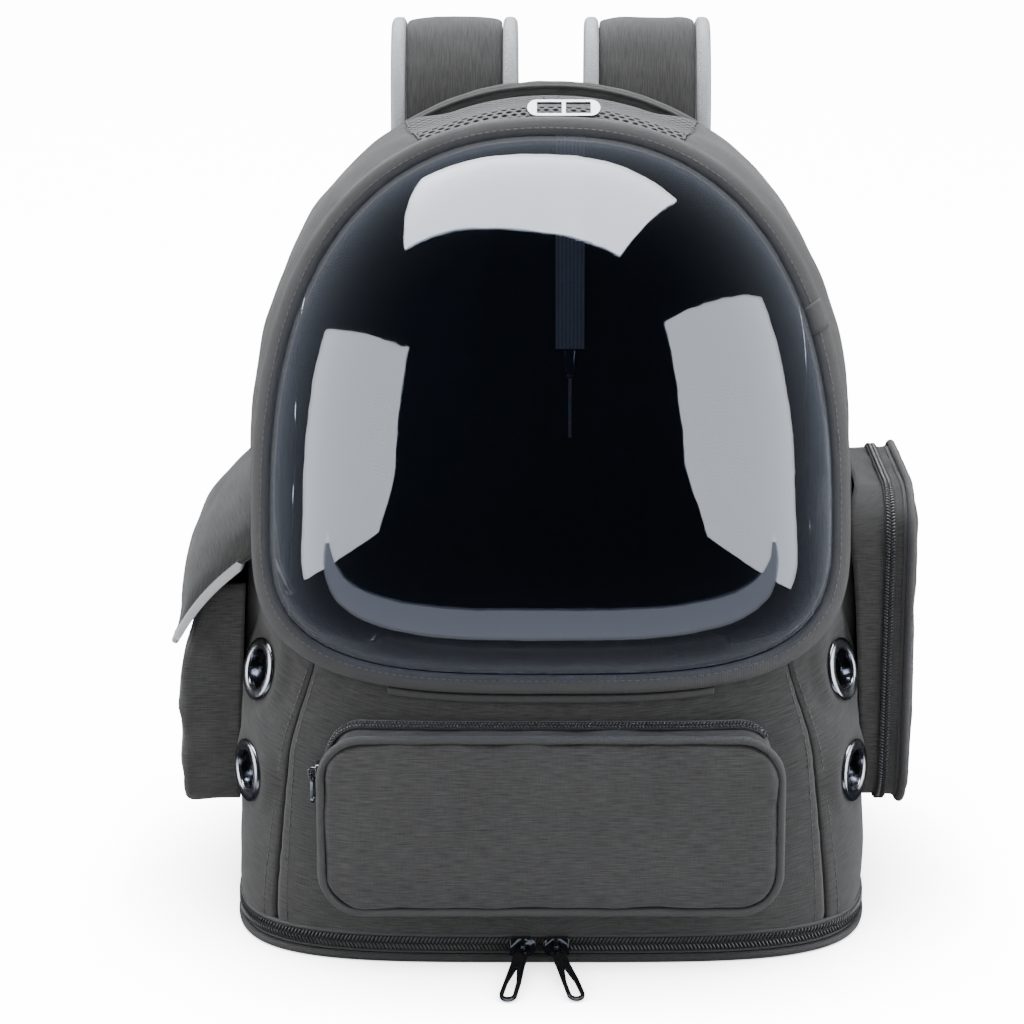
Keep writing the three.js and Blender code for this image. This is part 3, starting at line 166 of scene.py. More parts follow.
class Body:
    """The bag's outer surface and the sheet that covers it."""

    def __init__(self, size: BodySize, window: WindowSize) -> None:
        """Works out the leans and reaches of the body's flat limits."""
        self.size = size
        self.window = window
        self.window_lean = (window.top_y - window.bottom_y) / (window.top_z - window.bottom_z)
        self.skirt_lean = (window.bottom_y + size.half_depth) / window.bottom_z
        self.skirt_reach = size.half_depth - self.skirt_lean * size.widest_z
        self.window_reach = -window.bottom_y - self.window_lean * (size.widest_z - window.bottom_z)
        self.back_reach = size.half_depth - size.back_lean * size.widest_z
        corner = self.hit(np.array([0.0, float(self.rear_y(size.shell_bottom)), size.shell_bottom]),
                          np.array([1.0, 0.0, 0.0]))
        self.corner_turn = math.atan2(corner[0], -corner[1])
        self.corner_rise = math.atan2(size.shell_bottom - size.widest_z, corner[0])
        self.forward = unit(np.array([0.0, -1.0, self.window_lean]))

    def level(self, p: Array) -> Array:
        """1 on the surface and growing outwards, for points of shape (..., 3)."""
        size = self.size
        down = size.widest_z - p[..., 2]
        above = np.maximum(0.0, -down) / (size.height - size.widest_z)
        flare = size.flare * np.maximum(0.0, down) / size.widest_z / size.half_width
        side = norm(size.arch_power, np.abs(p[..., 0]) / size.half_width - flare, above)
        front = norm(14.0, (-p[..., 1] - self.skirt_lean * down) / self.skirt_reach,
                     (-p[..., 1] - self.window_lean * down) / self.window_reach)
        back = (p[..., 1] - size.back_lean * down) / self.back_reach
        topness = above / np.maximum(side, 1e-6)
        power = mix(size.corner_power, size.top_corner_power, topness * topness)
        walls = norm(size.rear_power, norm(power, front, side), back)
        return norm(size.hem_power, walls, down / size.widest_z)

    def halve(self, at: Callable[[Array], Array], shape: tuple, reach: float = 600.0) -> Array:
        """Points where paths from inside leave the surface, by halving."""
        inside = np.zeros(shape)
        outside = np.full(shape, reach)
        for _ in range(34):
            middle = (inside + outside) / 2.0
            within = self.level(at(middle)) < 1.0
            inside = np.where(within, middle, inside)
            outside = np.where(within, outside, middle)
        return at(inside)

    def hit(self, start: Array, direction: Array) -> Array:
        """Where rays from start first leave the surface."""
        shape = np.broadcast(start[..., 0], direction[..., 0]).shape
        return self.halve(lambda reach: start + reach[..., None] * direction, shape)

    def rear_y(self, z: Array) -> Array:
        """Depth of the shell's rear edge at height z."""
        return self.size.half_depth - self.size.back_lean * z - self.size.rear_edge

    def rear_outline(self, angle: Array) -> Array:
        """Rear edge of the shell at an angle about the body's middle."""
        def at(reach: Array) -> Array:
            z = self.size.widest_z + reach * np.sin(angle)
            return np.stack([reach * np.cos(angle), self.rear_y(z), z], axis=-1)
        return self.halve(at, np.shape(angle))

    def base_outline(self, turn: Array, z: float) -> Array:
        """Outline of the body at height z, by the turn from the front."""
        turn = np.asarray(turn, float)
        direction = np.stack([np.sin(turn), -np.cos(turn), np.zeros_like(turn)], axis=-1)
        return self.hit(np.array([0.0, 0.0, z]), direction)

    def window_plane(self, x: Array, z: Array) -> Array:
        """The leaning face that the window lies in, wrapped back at its sides."""
        wrap = self.window.wrap * (np.abs(x) / self.window.half_width) ** self.window.wrap_power
        y = self.window.bottom_y + self.window_lean * (z - self.window.bottom_z) + wrap
        return np.stack(np.broadcast_arrays(x, y, z), axis=-1)

    def window_point(self, s: Array, side: Array, inset: Array) -> Array:
        """Window outline, s from 0 at the bottom middle to 1 at the top middle."""
        window = self.window
        angle = np.pi * (np.asarray(s, float) - 0.5)
        low = angle < 0.0
        power = np.where(low, window.low_power, window.high_power)
        rise = np.where(low, window.widest_z - window.bottom_z, window.top_z - window.widest_z) - inset
        x = (window.half_width - inset) * np.maximum(0.0, np.cos(angle)) ** (2.0 / power)
        z = window.widest_z + np.sign(angle) * rise * np.abs(np.sin(angle)) ** (2.0 / power)
        return self.window_plane(side * x, z)

    def window_frame(self, s: Array, side: Array) -> tuple[Array, Array, Array]:
        """Middle of the window binding with its half width and half thickness."""
        outer = self.window_point(s, side, 0.0)
        inner = self.window_point(s, side, self.window.binding_width)
        point = (outer + inner) / 2.0
        across = (outer - inner) / 2.0
        share = np.sum(across * self.forward, -1, keepdims=True) / np.sum(across * across, -1, keepdims=True)
        up = unit(self.forward - share * across) * self.window.binding_thick / 2.0
        return point, across, up

    def cloth_start(self, s: Array) -> Array:
        """Where the cloth starts, behind the binding."""
        point, across, up = self.window_frame(s, 1.0)
        behind = 1.0 + 2.0 * self.size.gap / (self.window.binding_thick / 2.0)
        return point + across * self.window.cloth_under - up * behind

    def shell_edge(self, s: Array) -> Array:
        """Outer boundary of the shell: round the base, then up the rear edge."""
        s = np.asarray(s, float)
        corner = self.size.corner_s
        turn = self.corner_turn * (np.minimum(s, corner) / corner) ** 1.35
        climb = np.maximum(0.0, (s - corner) / (1.0 - corner)) ** 0.9
        low = self.base_outline(turn, self.size.shell_bottom)
        high = self.rear_outline(mix(self.corner_rise, np.pi / 2.0, climb))
        return np.where((s <= corner)[..., None], low, high)

    def shell(self, s: Array, t: Array, side: Array) -> Array:
        """Cloth shell between the window binding, t 0, and its outer boundary, t 1.

        The straight line from edge to edge is pushed out along rays onto the body's surface.
        """
        s, t, side = np.broadcast_arrays(np.asarray(s, float), t, side)
        flat = mix(self.cloth_start(s), self.shell_edge(s), t[..., None]) - CENTRE
        grip = smooth(0.0, 0.3, t)
        push = 1.0 + grip * (1.0 / self.level(flat + CENTRE) - 1.0)
        point = flat * push[..., None] + CENTRE
        half = self.size.mesh_half_width
        mesh = np.where(s > 0.5, 1.0 - smooth(half * 0.8, half * 1.5, point[..., 0]), 0.0)
        point[..., 2] -= self.size.mesh_dip * mesh * np.sin(np.pi * t) ** 1.3
        point[..., 0] *= side
        return point

    def mesh_seam(self) -> float:
        """The s at which the window edge is as wide as the mesh top."""
        share = (self.size.mesh_half_width / self.window.half_width) ** (self.window.high_power / 2.0)
        return 0.5 + math.acos(share) / math.pi


SHAPE = Body(BODY, WINDOW)


# Meshes from whole arrays of points


def ripple(points: Array, length: float, seed: int, count: int = 9) -> Array:
    """Smooth made-up relief between about -1 and 1, from waves in fixed directions."""
    dice = np.random.default_rng(seed)
    total = np.zeros(points.shape[:-1])
    for _ in range(count):
        direction = unit(dice.normal(size=3))
        wave = 2.0 * np.pi / (length * dice.uniform(0.7, 1.5))
        total += np.sin(points @ direction * wave + dice.uniform(0.0, 2.0 * np.pi))
    return total / math.sqrt(count * 1.4)


def grid_normals(grid: Array, loop: bool = False) -> Array:
    """Normals of a grid of points, as rows cross columns."""
    if loop:
        joined = np.concatenate([grid[-1:], grid, grid[:1]], axis=0)
        rows = np.gradient(joined, axis=0)[1:-1]
    else:
        rows = np.gradient(grid, axis=0)
    columns = np.gradient(grid, axis=1)
    return unit(np.cross(rows, columns))


def lengths(grid: Array, axis: int) -> Array:
    """Distance along the grid from its first row or column."""
    steps = np.linalg.norm(np.diff(grid, axis=axis), axis=-1)
    start = np.zeros_like(np.take(steps, [0], axis=axis))
    return np.concatenate([start, np.cumsum(steps, axis=axis)], axis=axis)


@dataclass
class Sheet:
    """Points, faces and cloth coordinates of one mesh, in millimetres."""

    points: list[Array] = field(default_factory=list)
    faces: list[Array] = field(default_factory=list)
    weave: list[Array] = field(default_factory=list)
    slots: list[Array] = field(default_factory=list)
    count: int = 0

    def add(self, points: Array, faces: Array, weave: Array | None = None, slot: int = 0) -> None:
        """Adds a block of points with quads or triangles that count from its first point."""
        points = points.reshape(-1, 3)
        if weave is None:
            weave = np.stack([points[:, 0] + points[:, 1], points[:, 2], points[:, 0]], axis=-1)
        self.points.append(points)
        self.weave.append(weave.reshape(-1, 3))
        self.faces.extend((faces + self.count).tolist())
        self.slots.append(np.full(len(faces), slot, np.int32))
        self.count += len(points)

    def add_grid(self, grid: Array, loop_rows: bool = False, loop_columns: bool = False,
                 flip: bool = False, slot: int = 0) -> None:
        """Adds a grid of points as quads, joined up where it loops."""
        rows, columns = grid.shape[:2]
        i = np.arange(rows if loop_rows else rows - 1)[:, None]
        j = np.arange(columns if loop_columns else columns - 1)[None, :]
        i2 = (i + 1) % rows
        j2 = (j + 1) % columns
        quads = np.stack(np.broadcast_arrays(
            i * columns + j, i2 * columns + j, i2 * columns + j2, i * columns + j2), axis=-1).reshape(-1, 4)
        if flip:
            quads = quads[:, ::-1]
        weave = np.stack([lengths(grid, 0), lengths(grid, 1), np.zeros(grid.shape[:2])], axis=-1)
        self.add(grid, quads, weave, slot)

    def make(self, name: str, *materials: bpy.types.Material) -> bpy.types.Object:
        """Makes the object, with smooth faces and the cloth coordinates as an attribute."""
        mesh = bpy.data.meshes.new(name)
        points = np.concatenate(self.points) * MM
        mesh.from_pydata(points.tolist(), [], self.faces)
        mesh.polygons.foreach_set("material_index", np.concatenate(self.slots))
        mesh.polygons.foreach_set("use_smooth", np.ones(len(mesh.polygons), bool))
        weave = mesh.attributes.new("weave", "FLOAT_VECTOR", "POINT")
        weave.data.foreach_set("vector", np.concatenate(self.weave).astype(np.float32).ravel())
        for material in materials:
            mesh.materials.append(material)
        mesh.update()
        made = bpy.data.objects.new(name, mesh)
        bpy.context.scene.collection.objects.link(made)
        return made


def wall(outer: Array, inner: Array, keep: Array | None = None, flat: Array | None = None,
         loop: bool = False) -> Sheet:
    """Sheet of two layers closed round its edges and round the cells that keep leaves out.

    Args:
        outer: Grid of points of the face outwards.
        inner: Grid of the same shape behind it.
        keep: True for each cell that stays, or None for all.
        flat: Cloth coordinates u and v of each point, or None to measure along the grid.
        loop: True where the last row joins the first. Then no cell is left out.
    Returns:
        The sheet, with slot 1 on its inner face.
    """
    rows, columns = outer.shape[:2]
    if keep is None:
        keep = np.ones((rows if loop else rows - 1, columns - 1), bool)
    count = rows * columns
    points = np.concatenate([outer.reshape(-1, 3), inner.reshape(-1, 3)])
    if flat is None:
        flat = np.stack([lengths(outer, 0), lengths(outer, 1)], axis=-1)
    plain = np.concatenate([flat, np.zeros((rows, columns, 1))], axis=-1).reshape(-1, 3)
    weave = np.concatenate([plain, plain])
    i, j = np.nonzero(keep)
    a, b = i * columns + j, (i + 1) % rows * columns + j
    c, d = b + 1, a + 1
    front = np.stack([a, b, c, d], axis=-1)
    back = np.stack([a, d, c, b], axis=-1) + count
    padded = np.pad(keep, 1)
    sides = []
    for axis in (1,) if loop else (0, 1):
        change = np.diff(padded.astype(int), axis=axis)
        change = change[:, 1:-1] if axis == 0 else change[1:-1, :]
        for value in (1, -1):
            p, q = np.nonzero(change == value)
            one = p * columns + q
            two = one + 1 if axis == 0 else (p + 1) % rows * columns + q
            if (value == 1) == (axis == 1):
                one, two = two, one
            sides.append(np.stack([one, two, two + count, one + count], axis=-1))
    sheet = Sheet()
    sheet.add(points, front, weave)
    edge = np.concatenate(sides)
    sheet.faces.extend(back.tolist() + edge.tolist())
    sheet.slots.append(np.full(len(back), 1, np.int32))
    sheet.slots.append(np.zeros(len(edge), np.int32))
    return sheet


def section(sides: int, power: float = 2.0) -> Array:
    """Rounded section as pairs of shares of the two half axes."""
    angle = np.linspace(0.0, 2.0 * np.pi, sides, endpoint=False)
    c, d = np.cos(angle), np.sin(angle)
    return np.stack([np.sign(c) * np.abs(c) ** (2.0 / power), np.sign(d) * np.abs(d) ** (2.0 / power)], axis=-1)


def tube(sheet: Sheet, point: Array, across: Array, up: Array, sides: int = 12, power: float = 2.0,
         loop: bool = False, slot: int = 0) -> None:
    """Adds a band with a rounded section along a path, closed at its ends or joined up.

    Args:
        sheet: Sheet that takes the band.
        point: Points of the path, shape (n, 3).
        across: Half width vector at each point.
        up: Half thickness vector at each point.
        sides: Points round the section.
        power: 2 for an ellipse, more for a squarer section.
        loop: True where the path closes.
        slot: Material slot.
    """
    shares = section(sides, power)
    rings = point[:, None] + shares[None, :, :1] * across[:, None] + shares[None, :, 1:] * up[:, None]
    along = np.roll(point, -1, axis=0) - point
    turn = float(np.sum(np.cross(across[:-1], up[:-1]) * along[:-1]))
    if not loop:
        caps = [rings[0].mean(0, keepdims=True).repeat(sides, 0), rings[-1].mean(0, keepdims=True).repeat(sides, 0)]
        rings = np.concatenate([caps[0][None], rings, caps[1][None]])
    sheet.add_grid(rings, loop_rows=loop, loop_columns=True, flip=turn > 0.0, slot=slot)


def path_frames(points: Array, outward: Array, half: float, thick: float, loop: bool) -> tuple[Array, Array]:
    """Half axes of a band that lies flat to a face: thick across the path, half outward."""
    if loop:
        along = np.roll(points, -1, axis=0) - np.roll(points, 1, axis=0)
    else:
        along = np.gradient(points, axis=0)
    out = np.broadcast_to(outward, points.shape)
    across = unit(np.cross(unit(along), out))
    return across * thick, out * half


def resample(points: Array, count: int, loop: bool = False) -> Array:
    """Points at equal steps along a path."""
    if loop:
        points = np.concatenate([points, points[:1]])
    at = np.concatenate([[0.0], np.cumsum(np.linalg.norm(np.diff(points, axis=0), axis=1))])
    want = np.linspace(0.0, at[-1], count, endpoint=not loop)
    return np.stack([np.interp(want, at, points[:, k]) for k in range(3)], axis=-1)


def path_length(points: Array) -> float:
    """Length of a path in millimetres."""
    return float(np.linalg.norm(np.diff(points, axis=0), axis=1).sum())


def beads(sheet: Sheet, centre: Array, along: Array, across: Array, up: Array, sides: int = 6,
          slot: int = 0) -> None:
    """Adds many small capsules at once, such as stitches or coil teeth.

    Args:
        sheet: Sheet that takes them.
        centre: Middle of each, shape (n, 3).
        along: Half length vector of each.
        across: Half width vector of each.
        up: Half thickness vector of each.
        sides: Points round each.
        slot: Material slot.
    """
    ring = section(sides)
    stations = np.array([[-1.0, 0.05], [-0.86, 0.62], [-0.5, 1.0], [0.5, 1.0], [0.86, 0.62], [1.0, 0.05]])
    body = (stations[None, :, None, :1] * along[:, None, None]
            + stations[None, :, None, 1:] * (ring[None, None, :, :1] * across[:, None, None]
                                             + ring[None, None, :, 1:] * up[:, None, None]))
    points = centre[:, None, None] + body
    rows, columns = len(stations), sides
    i, j = np.meshgrid(np.arange(rows - 1), np.arange(columns), indexing="ij")
    j2 = (j + 1) % columns
    quads = np.stack([i * columns + j, i * columns + j2, (i + 1) * columns + j2, (i + 1) * columns + j],
                     axis=-1).reshape(-1, 4)
    turn = float(np.sum(np.cross(across, up) * along))
    if turn < 0.0:
        quads = quads[:, ::-1]
    every = (quads[None] + (np.arange(len(centre)) * rows * columns)[:, None, None]).reshape(-1, 4)
    sheet.add(points, every, slot=slot)


def stitches(sheet: Sheet, path: Array, outward: Array, pitch: float = 3.6, length: float = 2.4,
             radius: float = 0.32, loop: bool = False, slot: int = 0) -> None:
    """Adds a row of stitches along a path, each half sunk in the cloth."""
    count = max(4, int(path_length(path) / pitch))
    middle = resample(path, count, loop)
    out = np.broadcast_to(outward, path.shape)
    lift = unit(resample_like(path, out, count, loop))
    if loop:
        along = unit(np.roll(middle, -1, axis=0) - np.roll(middle, 1, axis=0))
    else:
        along = unit(np.gradient(middle, axis=0))
    across = unit(np.cross(along, lift))
    beads(sheet, middle, along * length / 2.0, across * radius, lift * radius, slot=slot)


def resample_like(points: Array, values: Array, count: int, loop: bool) -> Array:
    """Values carried to equal steps along a path."""
    if loop:
        points = np.concatenate([points, points[:1]])
        values = np.concatenate([values, values[:1]])
    at = np.concatenate([[0.0], np.cumsum(np.linalg.norm(np.diff(points, axis=0), axis=1))])
    want = np.linspace(0.0, at[-1], count, endpoint=not loop)
    return np.stack([np.interp(want, at, values[:, k]) for k in range(3)], axis=-1)


def coil_zip(sheet: Sheet, path: Array, outward: Array, width: float, loop: bool = False, pitch: float = 1.9,
             tooth: float = 2.5, slot: int = 0) -> None:
    """Adds two rows of slanted coil teeth that meet along the middle of a zip."""
    count = int(path_length(path) / pitch)
    middle = resample(path, count, loop)
    out = unit(resample_like(path, np.broadcast_to(outward, path.shape), count, loop))
    along = unit(np.gradient(middle, axis=0))
    across = unit(np.cross(along, out))
    for row in (-1.0, 1.0):
        slant = unit(across * row + along * 0.55)
        seat = middle + across * row * width * 0.24 + out * 0.25 + along * (pitch * 0.25 * row)
        lean = unit(np.cross(slant, out))
        beads(sheet, seat, slant * tooth / 2.0, lean * 0.5, out * 0.62, sides=6, slot=slot)


def own(obj: bpy.types.Object, slot: str, body: str, *nodes: str) -> bpy.types.Object:
    """Hides the nodes that a piece stands for and hangs it on the body it rides."""
    if nodes:
        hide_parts(*nodes)
    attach(obj, body)
    return obj


CARRIER = "carrier"


# Finishes


class Nodes:
    """Small builder for one node material."""

    def __init__(self, name: str) -> None:
        """Starts an empty node tree with an output."""
        self.material = bpy.data.materials.new(name)
        self.material.use_nodes = True
        self.tree = self.material.node_tree
        self.tree.nodes.clear()
        self.output = self.add("ShaderNodeOutputMaterial")

    def add(self, kind: str, inputs: dict | None = None, **settings: object) -> bpy.types.Node:
        """Adds a node. A socket given as an input is linked, and anything else is set."""
        node = self.tree.nodes.new(kind)
        for key, value in settings.items():
            setattr(node, key, value)
        for key, value in (inputs or {}).items():
            if isinstance(value, bpy.types.NodeSocket):
                self.tree.links.new(value, node.inputs[key])
            else:
                node.inputs[key].default_value = value
        return node

    def weave(self, scale: tuple[float, float, float]) -> bpy.types.NodeSocket:
        """The mesh's own cloth coordinates in millimetres, scaled."""
        source = self.add("ShaderNodeAttribute", attribute_name="weave", attribute_type="GEOMETRY")
        return self.add("ShaderNodeMapping", {"Vector": source.outputs["Vector"], "Scale": scale}).outputs[0]

    def place(self, scale: float) -> bpy.types.NodeSocket:
        """Object coordinates in metres, scaled."""
        source = self.add("ShaderNodeTexCoord")
        vector = (scale, scale, scale)
        return self.add("ShaderNodeMapping", {"Vector": source.outputs["Object"], "Scale": vector}).outputs[0]

    def noise(self, vector: bpy.types.NodeSocket, scale: float = 1.0, detail: float = 2.0) -> bpy.types.NodeSocket:
        """Noise between 0 and 1."""
        return self.add("ShaderNodeTexNoise", {"Vector": vector, "Scale": scale, "Detail": detail}).outputs["Fac"]

    def math(self, operation: str, a: object, b: object = 0.5, c: object = 0.5) -> bpy.types.NodeSocket:
        """One sum of up to three values."""
        return self.add("ShaderNodeMath", {0: a, 1: b, 2: c}, operation=operation).outputs[0]

    def ramp(self, value: bpy.types.NodeSocket, *stops: tuple[float, tuple]) -> bpy.types.NodeSocket:
        """Colour ramp through stops of (place, colour)."""
        node = self.add("ShaderNodeValToRGB", {"Fac": value})
        elements = node.color_ramp.elements
        while len(elements) < len(stops):
            elements.new(0.5)
        for element, (at, colour) in zip(elements, stops):
            element.position = at
            element.color = (*colour, 1.0)
        return node.outputs["Color"]

    def wave(self, vector: bpy.types.NodeSocket, axis: int) -> bpy.types.NodeSocket:
        """Absolute sine of one coordinate: a row of threads, one for each whole number."""
        parts = self.add("ShaderNodeSeparateXYZ", {0: vector}).outputs
        return self.math("ABSOLUTE", self.math("SINE", self.math("MULTIPLY", parts[axis], math.pi)))

    def bump(self, height: bpy.types.NodeSocket, strength: float, distance: float,
             below: bpy.types.NodeSocket | None = None) -> bpy.types.NodeSocket:
        """Bumped normal, on top of another where one is given."""
        inputs = {"Height": height, "Strength": strength, "Distance": distance}
        if below is not None:
            inputs["Normal"] = below
        return self.add("ShaderNodeBump", inputs).outputs["Normal"]

    def finish(self, shader: bpy.types.NodeSocket) -> bpy.types.Material:
        """Links the shader to the output."""
        self.tree.links.new(shader, self.output.inputs["Surface"])
        return self.material


def grey(value: float, warmth: float = 0.0) -> tuple[float, float, float]:
    """A grey, a little warm or cool."""
    return (value * (1.0 + warmth), value, value * (1.0 - warmth))


@dataclass(frozen=True)
class MarledCloth:
    """Woven cloth of dark and pale yarns, with short streaks along both, and painted shade in the dips between threads.
    """

    name: str
    tone: float = 0.13
    contrast: float = 0.34
    pitch: float = 0.8
    warmth: float = 0.008
    relief: float = 0.42

    def build(self) -> bpy.types.Material:
        """Builds the material."""
        n = Nodes(self.name)
        fine = n.weave((1.0 / self.pitch, 1.0 / self.pitch, 1.0))
        weft = n.noise(n.weave((0.1, 1.5, 1.0)), 1.0, 3.0)
        warp = n.noise(n.weave((1.3, 0.16, 1.0)), 1.0, 2.0)
        marl = n.math("MULTIPLY_ADD", weft, 0.8, n.math("MULTIPLY", warp, 0.2))
        wide = n.noise(n.place(14.0), 1.0, 3.0)
        value = n.math("MULTIPLY_ADD", n.math("SUBTRACT", wide, 0.5), 0.16, marl)
        low, high = self.tone * (1.0 - self.contrast), self.tone * (1.0 + self.contrast)
        colour = n.ramp(value, (0.34, grey(low, self.warmth)), (0.5, grey(self.tone, self.warmth)),
                        (0.66, grey(high, self.warmth)))
        threads = n.math("MAXIMUM", n.wave(fine, 0), n.wave(fine, 1))
        # Painted shade: the colour is darkened in the dips between the threads, following the bump's relief.
        painted_dip_shade = n.ramp(threads, (0.55, grey(0.0)), (1.0, grey(1.0)))
        shade = n.add("ShaderNodeMix", {0: 0.14, 6: colour, 7: painted_dip_shade}, data_type="RGBA",
                      blend_type="MULTIPLY").outputs[2]
        normal = n.bump(threads, 0.45 * self.relief, 0.0005)
        normal = n.bump(marl, 0.6 * self.relief, 0.0006, normal)
        shader = n.add("ShaderNodeBsdfPrincipled", {
            "Base Color": shade, "Roughness": 0.88, "Normal": normal, "Sheen Weight": 0.22,
            "Sheen Roughness": 0.45, "Specular IOR Level": 0.25})
        return n.finish(shader.outputs[0])


@dataclass(frozen=True)
class BoundEdge:
    """Narrow ribbed tape for bindings and piping, with painted shade in the grooves between its ribs."""

    name: str
    tone: float = 0.1
    coolness: float = 0.0
    pitch: float = 0.9
    roughness: float = 0.75

    def build(self) -> bpy.types.Material:
        """Builds the material."""
        n = Nodes(self.name)
        ribs = n.weave((1.0 / self.pitch, 1.0 / self.pitch, 1.0))
        grain = n.noise(n.weave((0.8, 0.8, 0.8)), 1.0, 3.0)
        ridge = n.wave(ribs, 0)
        # The colour is random grain plus the ribs' relief: painted shade darkens the grooves between the ribs.
        value = n.math("MULTIPLY_ADD", ridge, 0.3, n.math("MULTIPLY", grain, 0.7))
        colour = n.ramp(value, (0.2, grey(self.tone * 0.72, -self.coolness)),
                        (0.8, grey(self.tone * 1.2, -self.coolness)))
        normal = n.bump(ridge, 0.35, 0.0004)
        normal = n.bump(grain, 0.35, 0.0006, normal)
        shader = n.add("ShaderNodeBsdfPrincipled", {
            "Base Color": colour, "Roughness": self.roughness, "Normal": normal, "Sheen Weight": 0.12,
            "Specular IOR Level": 0.35})
        return n.finish(shader.outputs[0])


@dataclass(frozen=True)
class SmoothThread:
    """Plain thread or plastic with a soft shine, such as stitches or coil teeth."""

    name: str
    tone: float = 0.03
    roughness: float = 0.35
    coolness: float = 0.0

    def build(self) -> bpy.types.Material:
        """Builds the material."""
        n = Nodes(self.name)
        grain = n.noise(n.place(900.0), 1.0, 2.0)
        colour = n.ramp(grain, (0.3, grey(self.tone * 0.75, -self.coolness)),
                        (0.7, grey(self.tone * 1.25, -self.coolness)))
        shader = n.add("ShaderNodeBsdfPrincipled", {
            "Base Color": colour, "Roughness": self.roughness, "Normal": n.bump(grain, 0.15, 0.0002),
            "Specular IOR Level": 0.5})
        return n.finish(shader.outputs[0])


@dataclass(frozen=True)
class Webbing:
    """Woven strap with ribs along its length and a fine weft, with painted shade in the grooves between them."""

    name: str
    tone: float = 0.12
    pitch: float = 2.1

    def build(self) -> bpy.types.Material:
        """Builds the material."""
        n = Nodes(self.name)
        ribs = n.wave(n.weave((1.0, 1.0 / self.pitch, 1.0)), 1)
        weft = n.wave(n.weave((1.0 / 1.1, 1.0, 1.0)), 0)
        # Painted shade: the same relief that drives the bump darkens the colour in the grooves.
        value = n.math("MULTIPLY_ADD", ribs, 0.6, n.math("MULTIPLY", weft, 0.4))
        colour = n.ramp(value, (0.2, grey(self.tone * 0.6)), (0.9, grey(self.tone * 1.3)))
        normal = n.bump(value, 0.7, 0.0007)
        shader = n.add("ShaderNodeBsdfPrincipled", {
            "Base Color": colour, "Roughness": 0.7, "Normal": normal, "Sheen Weight": 0.1})
        return n.finish(shader.outputs[0])


@dataclass(frozen=True)
class PolishedMetal:
    """Polished metal with faint scratches and a little dust in its shine."""

    name: str
    colour: tuple[float, float, float] = (0.3, 0.3, 0.32)
    metallic: float = 1.0
    roughness: float = 0.16
    coat: float = 0.0

    def build(self) -> bpy.types.Material:
        """Builds the material."""
        n = Nodes(self.name)
        scratch = n.noise(n.place(1400.0), 1.0, 2.0)
        smudge = n.noise(n.place(90.0), 1.0, 2.0)
        rough = n.add("ShaderNodeMapRange", {0: smudge, 1: 0.3, 2: 0.7, 3: self.roughness * 0.8,
                                             4: self.roughness * 1.5}).outputs[0]
        shader = n.add("ShaderNodeBsdfPrincipled", {
            "Base Color": (*self.colour, 1.0), "Metallic": self.metallic, "Roughness": rough,
            "Coat Weight": self.coat, "Coat Roughness": 0.04, "Normal": n.bump(scratch, 0.04, 0.0002)})
        return n.finish(shader.outputs[0])


@dataclass(frozen=True)
class ClearBubble:
    """Thin clear plastic: what lies behind shows through, its shine grows towards the edge, and a pale diffuse layer
    near the edge paints the light that the edge catches.
    """

    name: str
    tint: tuple[float, float, float] = (0.66, 0.7, 0.78)
    head_on: float = 0.04
    falloff: float = 5.0
    # Strength and falloff of the painted rim sheen: pale diffuse colour in place of the light the bubble's edge
    # catches.
    rim_sheen: float = 0.42
    rim_sheen_falloff: float = 3.2

    def build(self) -> bpy.types.Material:
        """Builds the material."""
        n = Nodes(self.name)
        smear = n.noise(n.place(26.0), 1.0, 3.0)
        normal = n.bump(smear, 0.05, 0.004)
        clear = n.add("ShaderNodeBsdfTransparent", {"Color": (*self.tint, 1.0)})
        shine = n.add("ShaderNodeBsdfGlossy", {"Color": (1.0, 1.0, 1.0, 1.0), "Roughness": 0.03, "Normal": normal})
        facing = n.add("ShaderNodeLayerWeight", {"Blend": 0.5, "Normal": normal}).outputs["Facing"]
        amount = n.math("MULTIPLY_ADD", n.math("POWER", facing, self.falloff), 1.0 - self.head_on, self.head_on)
        # Painted rim sheen: a pale diffuse layer mixed in towards the edge, standing in for the light the edge catches.
        rim_sheen_layer = n.add("ShaderNodeBsdfDiffuse", {"Color": (0.5, 0.53, 0.58, 1.0)})
        edge = n.math("MULTIPLY", n.math("POWER", facing, self.rim_sheen_falloff), self.rim_sheen)
        base = n.add("ShaderNodeMixShader", {0: edge, 1: clear.outputs[0], 2: rim_sheen_layer.outputs[0]})
        mixed = n.add("ShaderNodeMixShader", {0: amount, 1: base.outputs[0], 2: shine.outputs[0]})
        return n.finish(mixed.outputs[0])


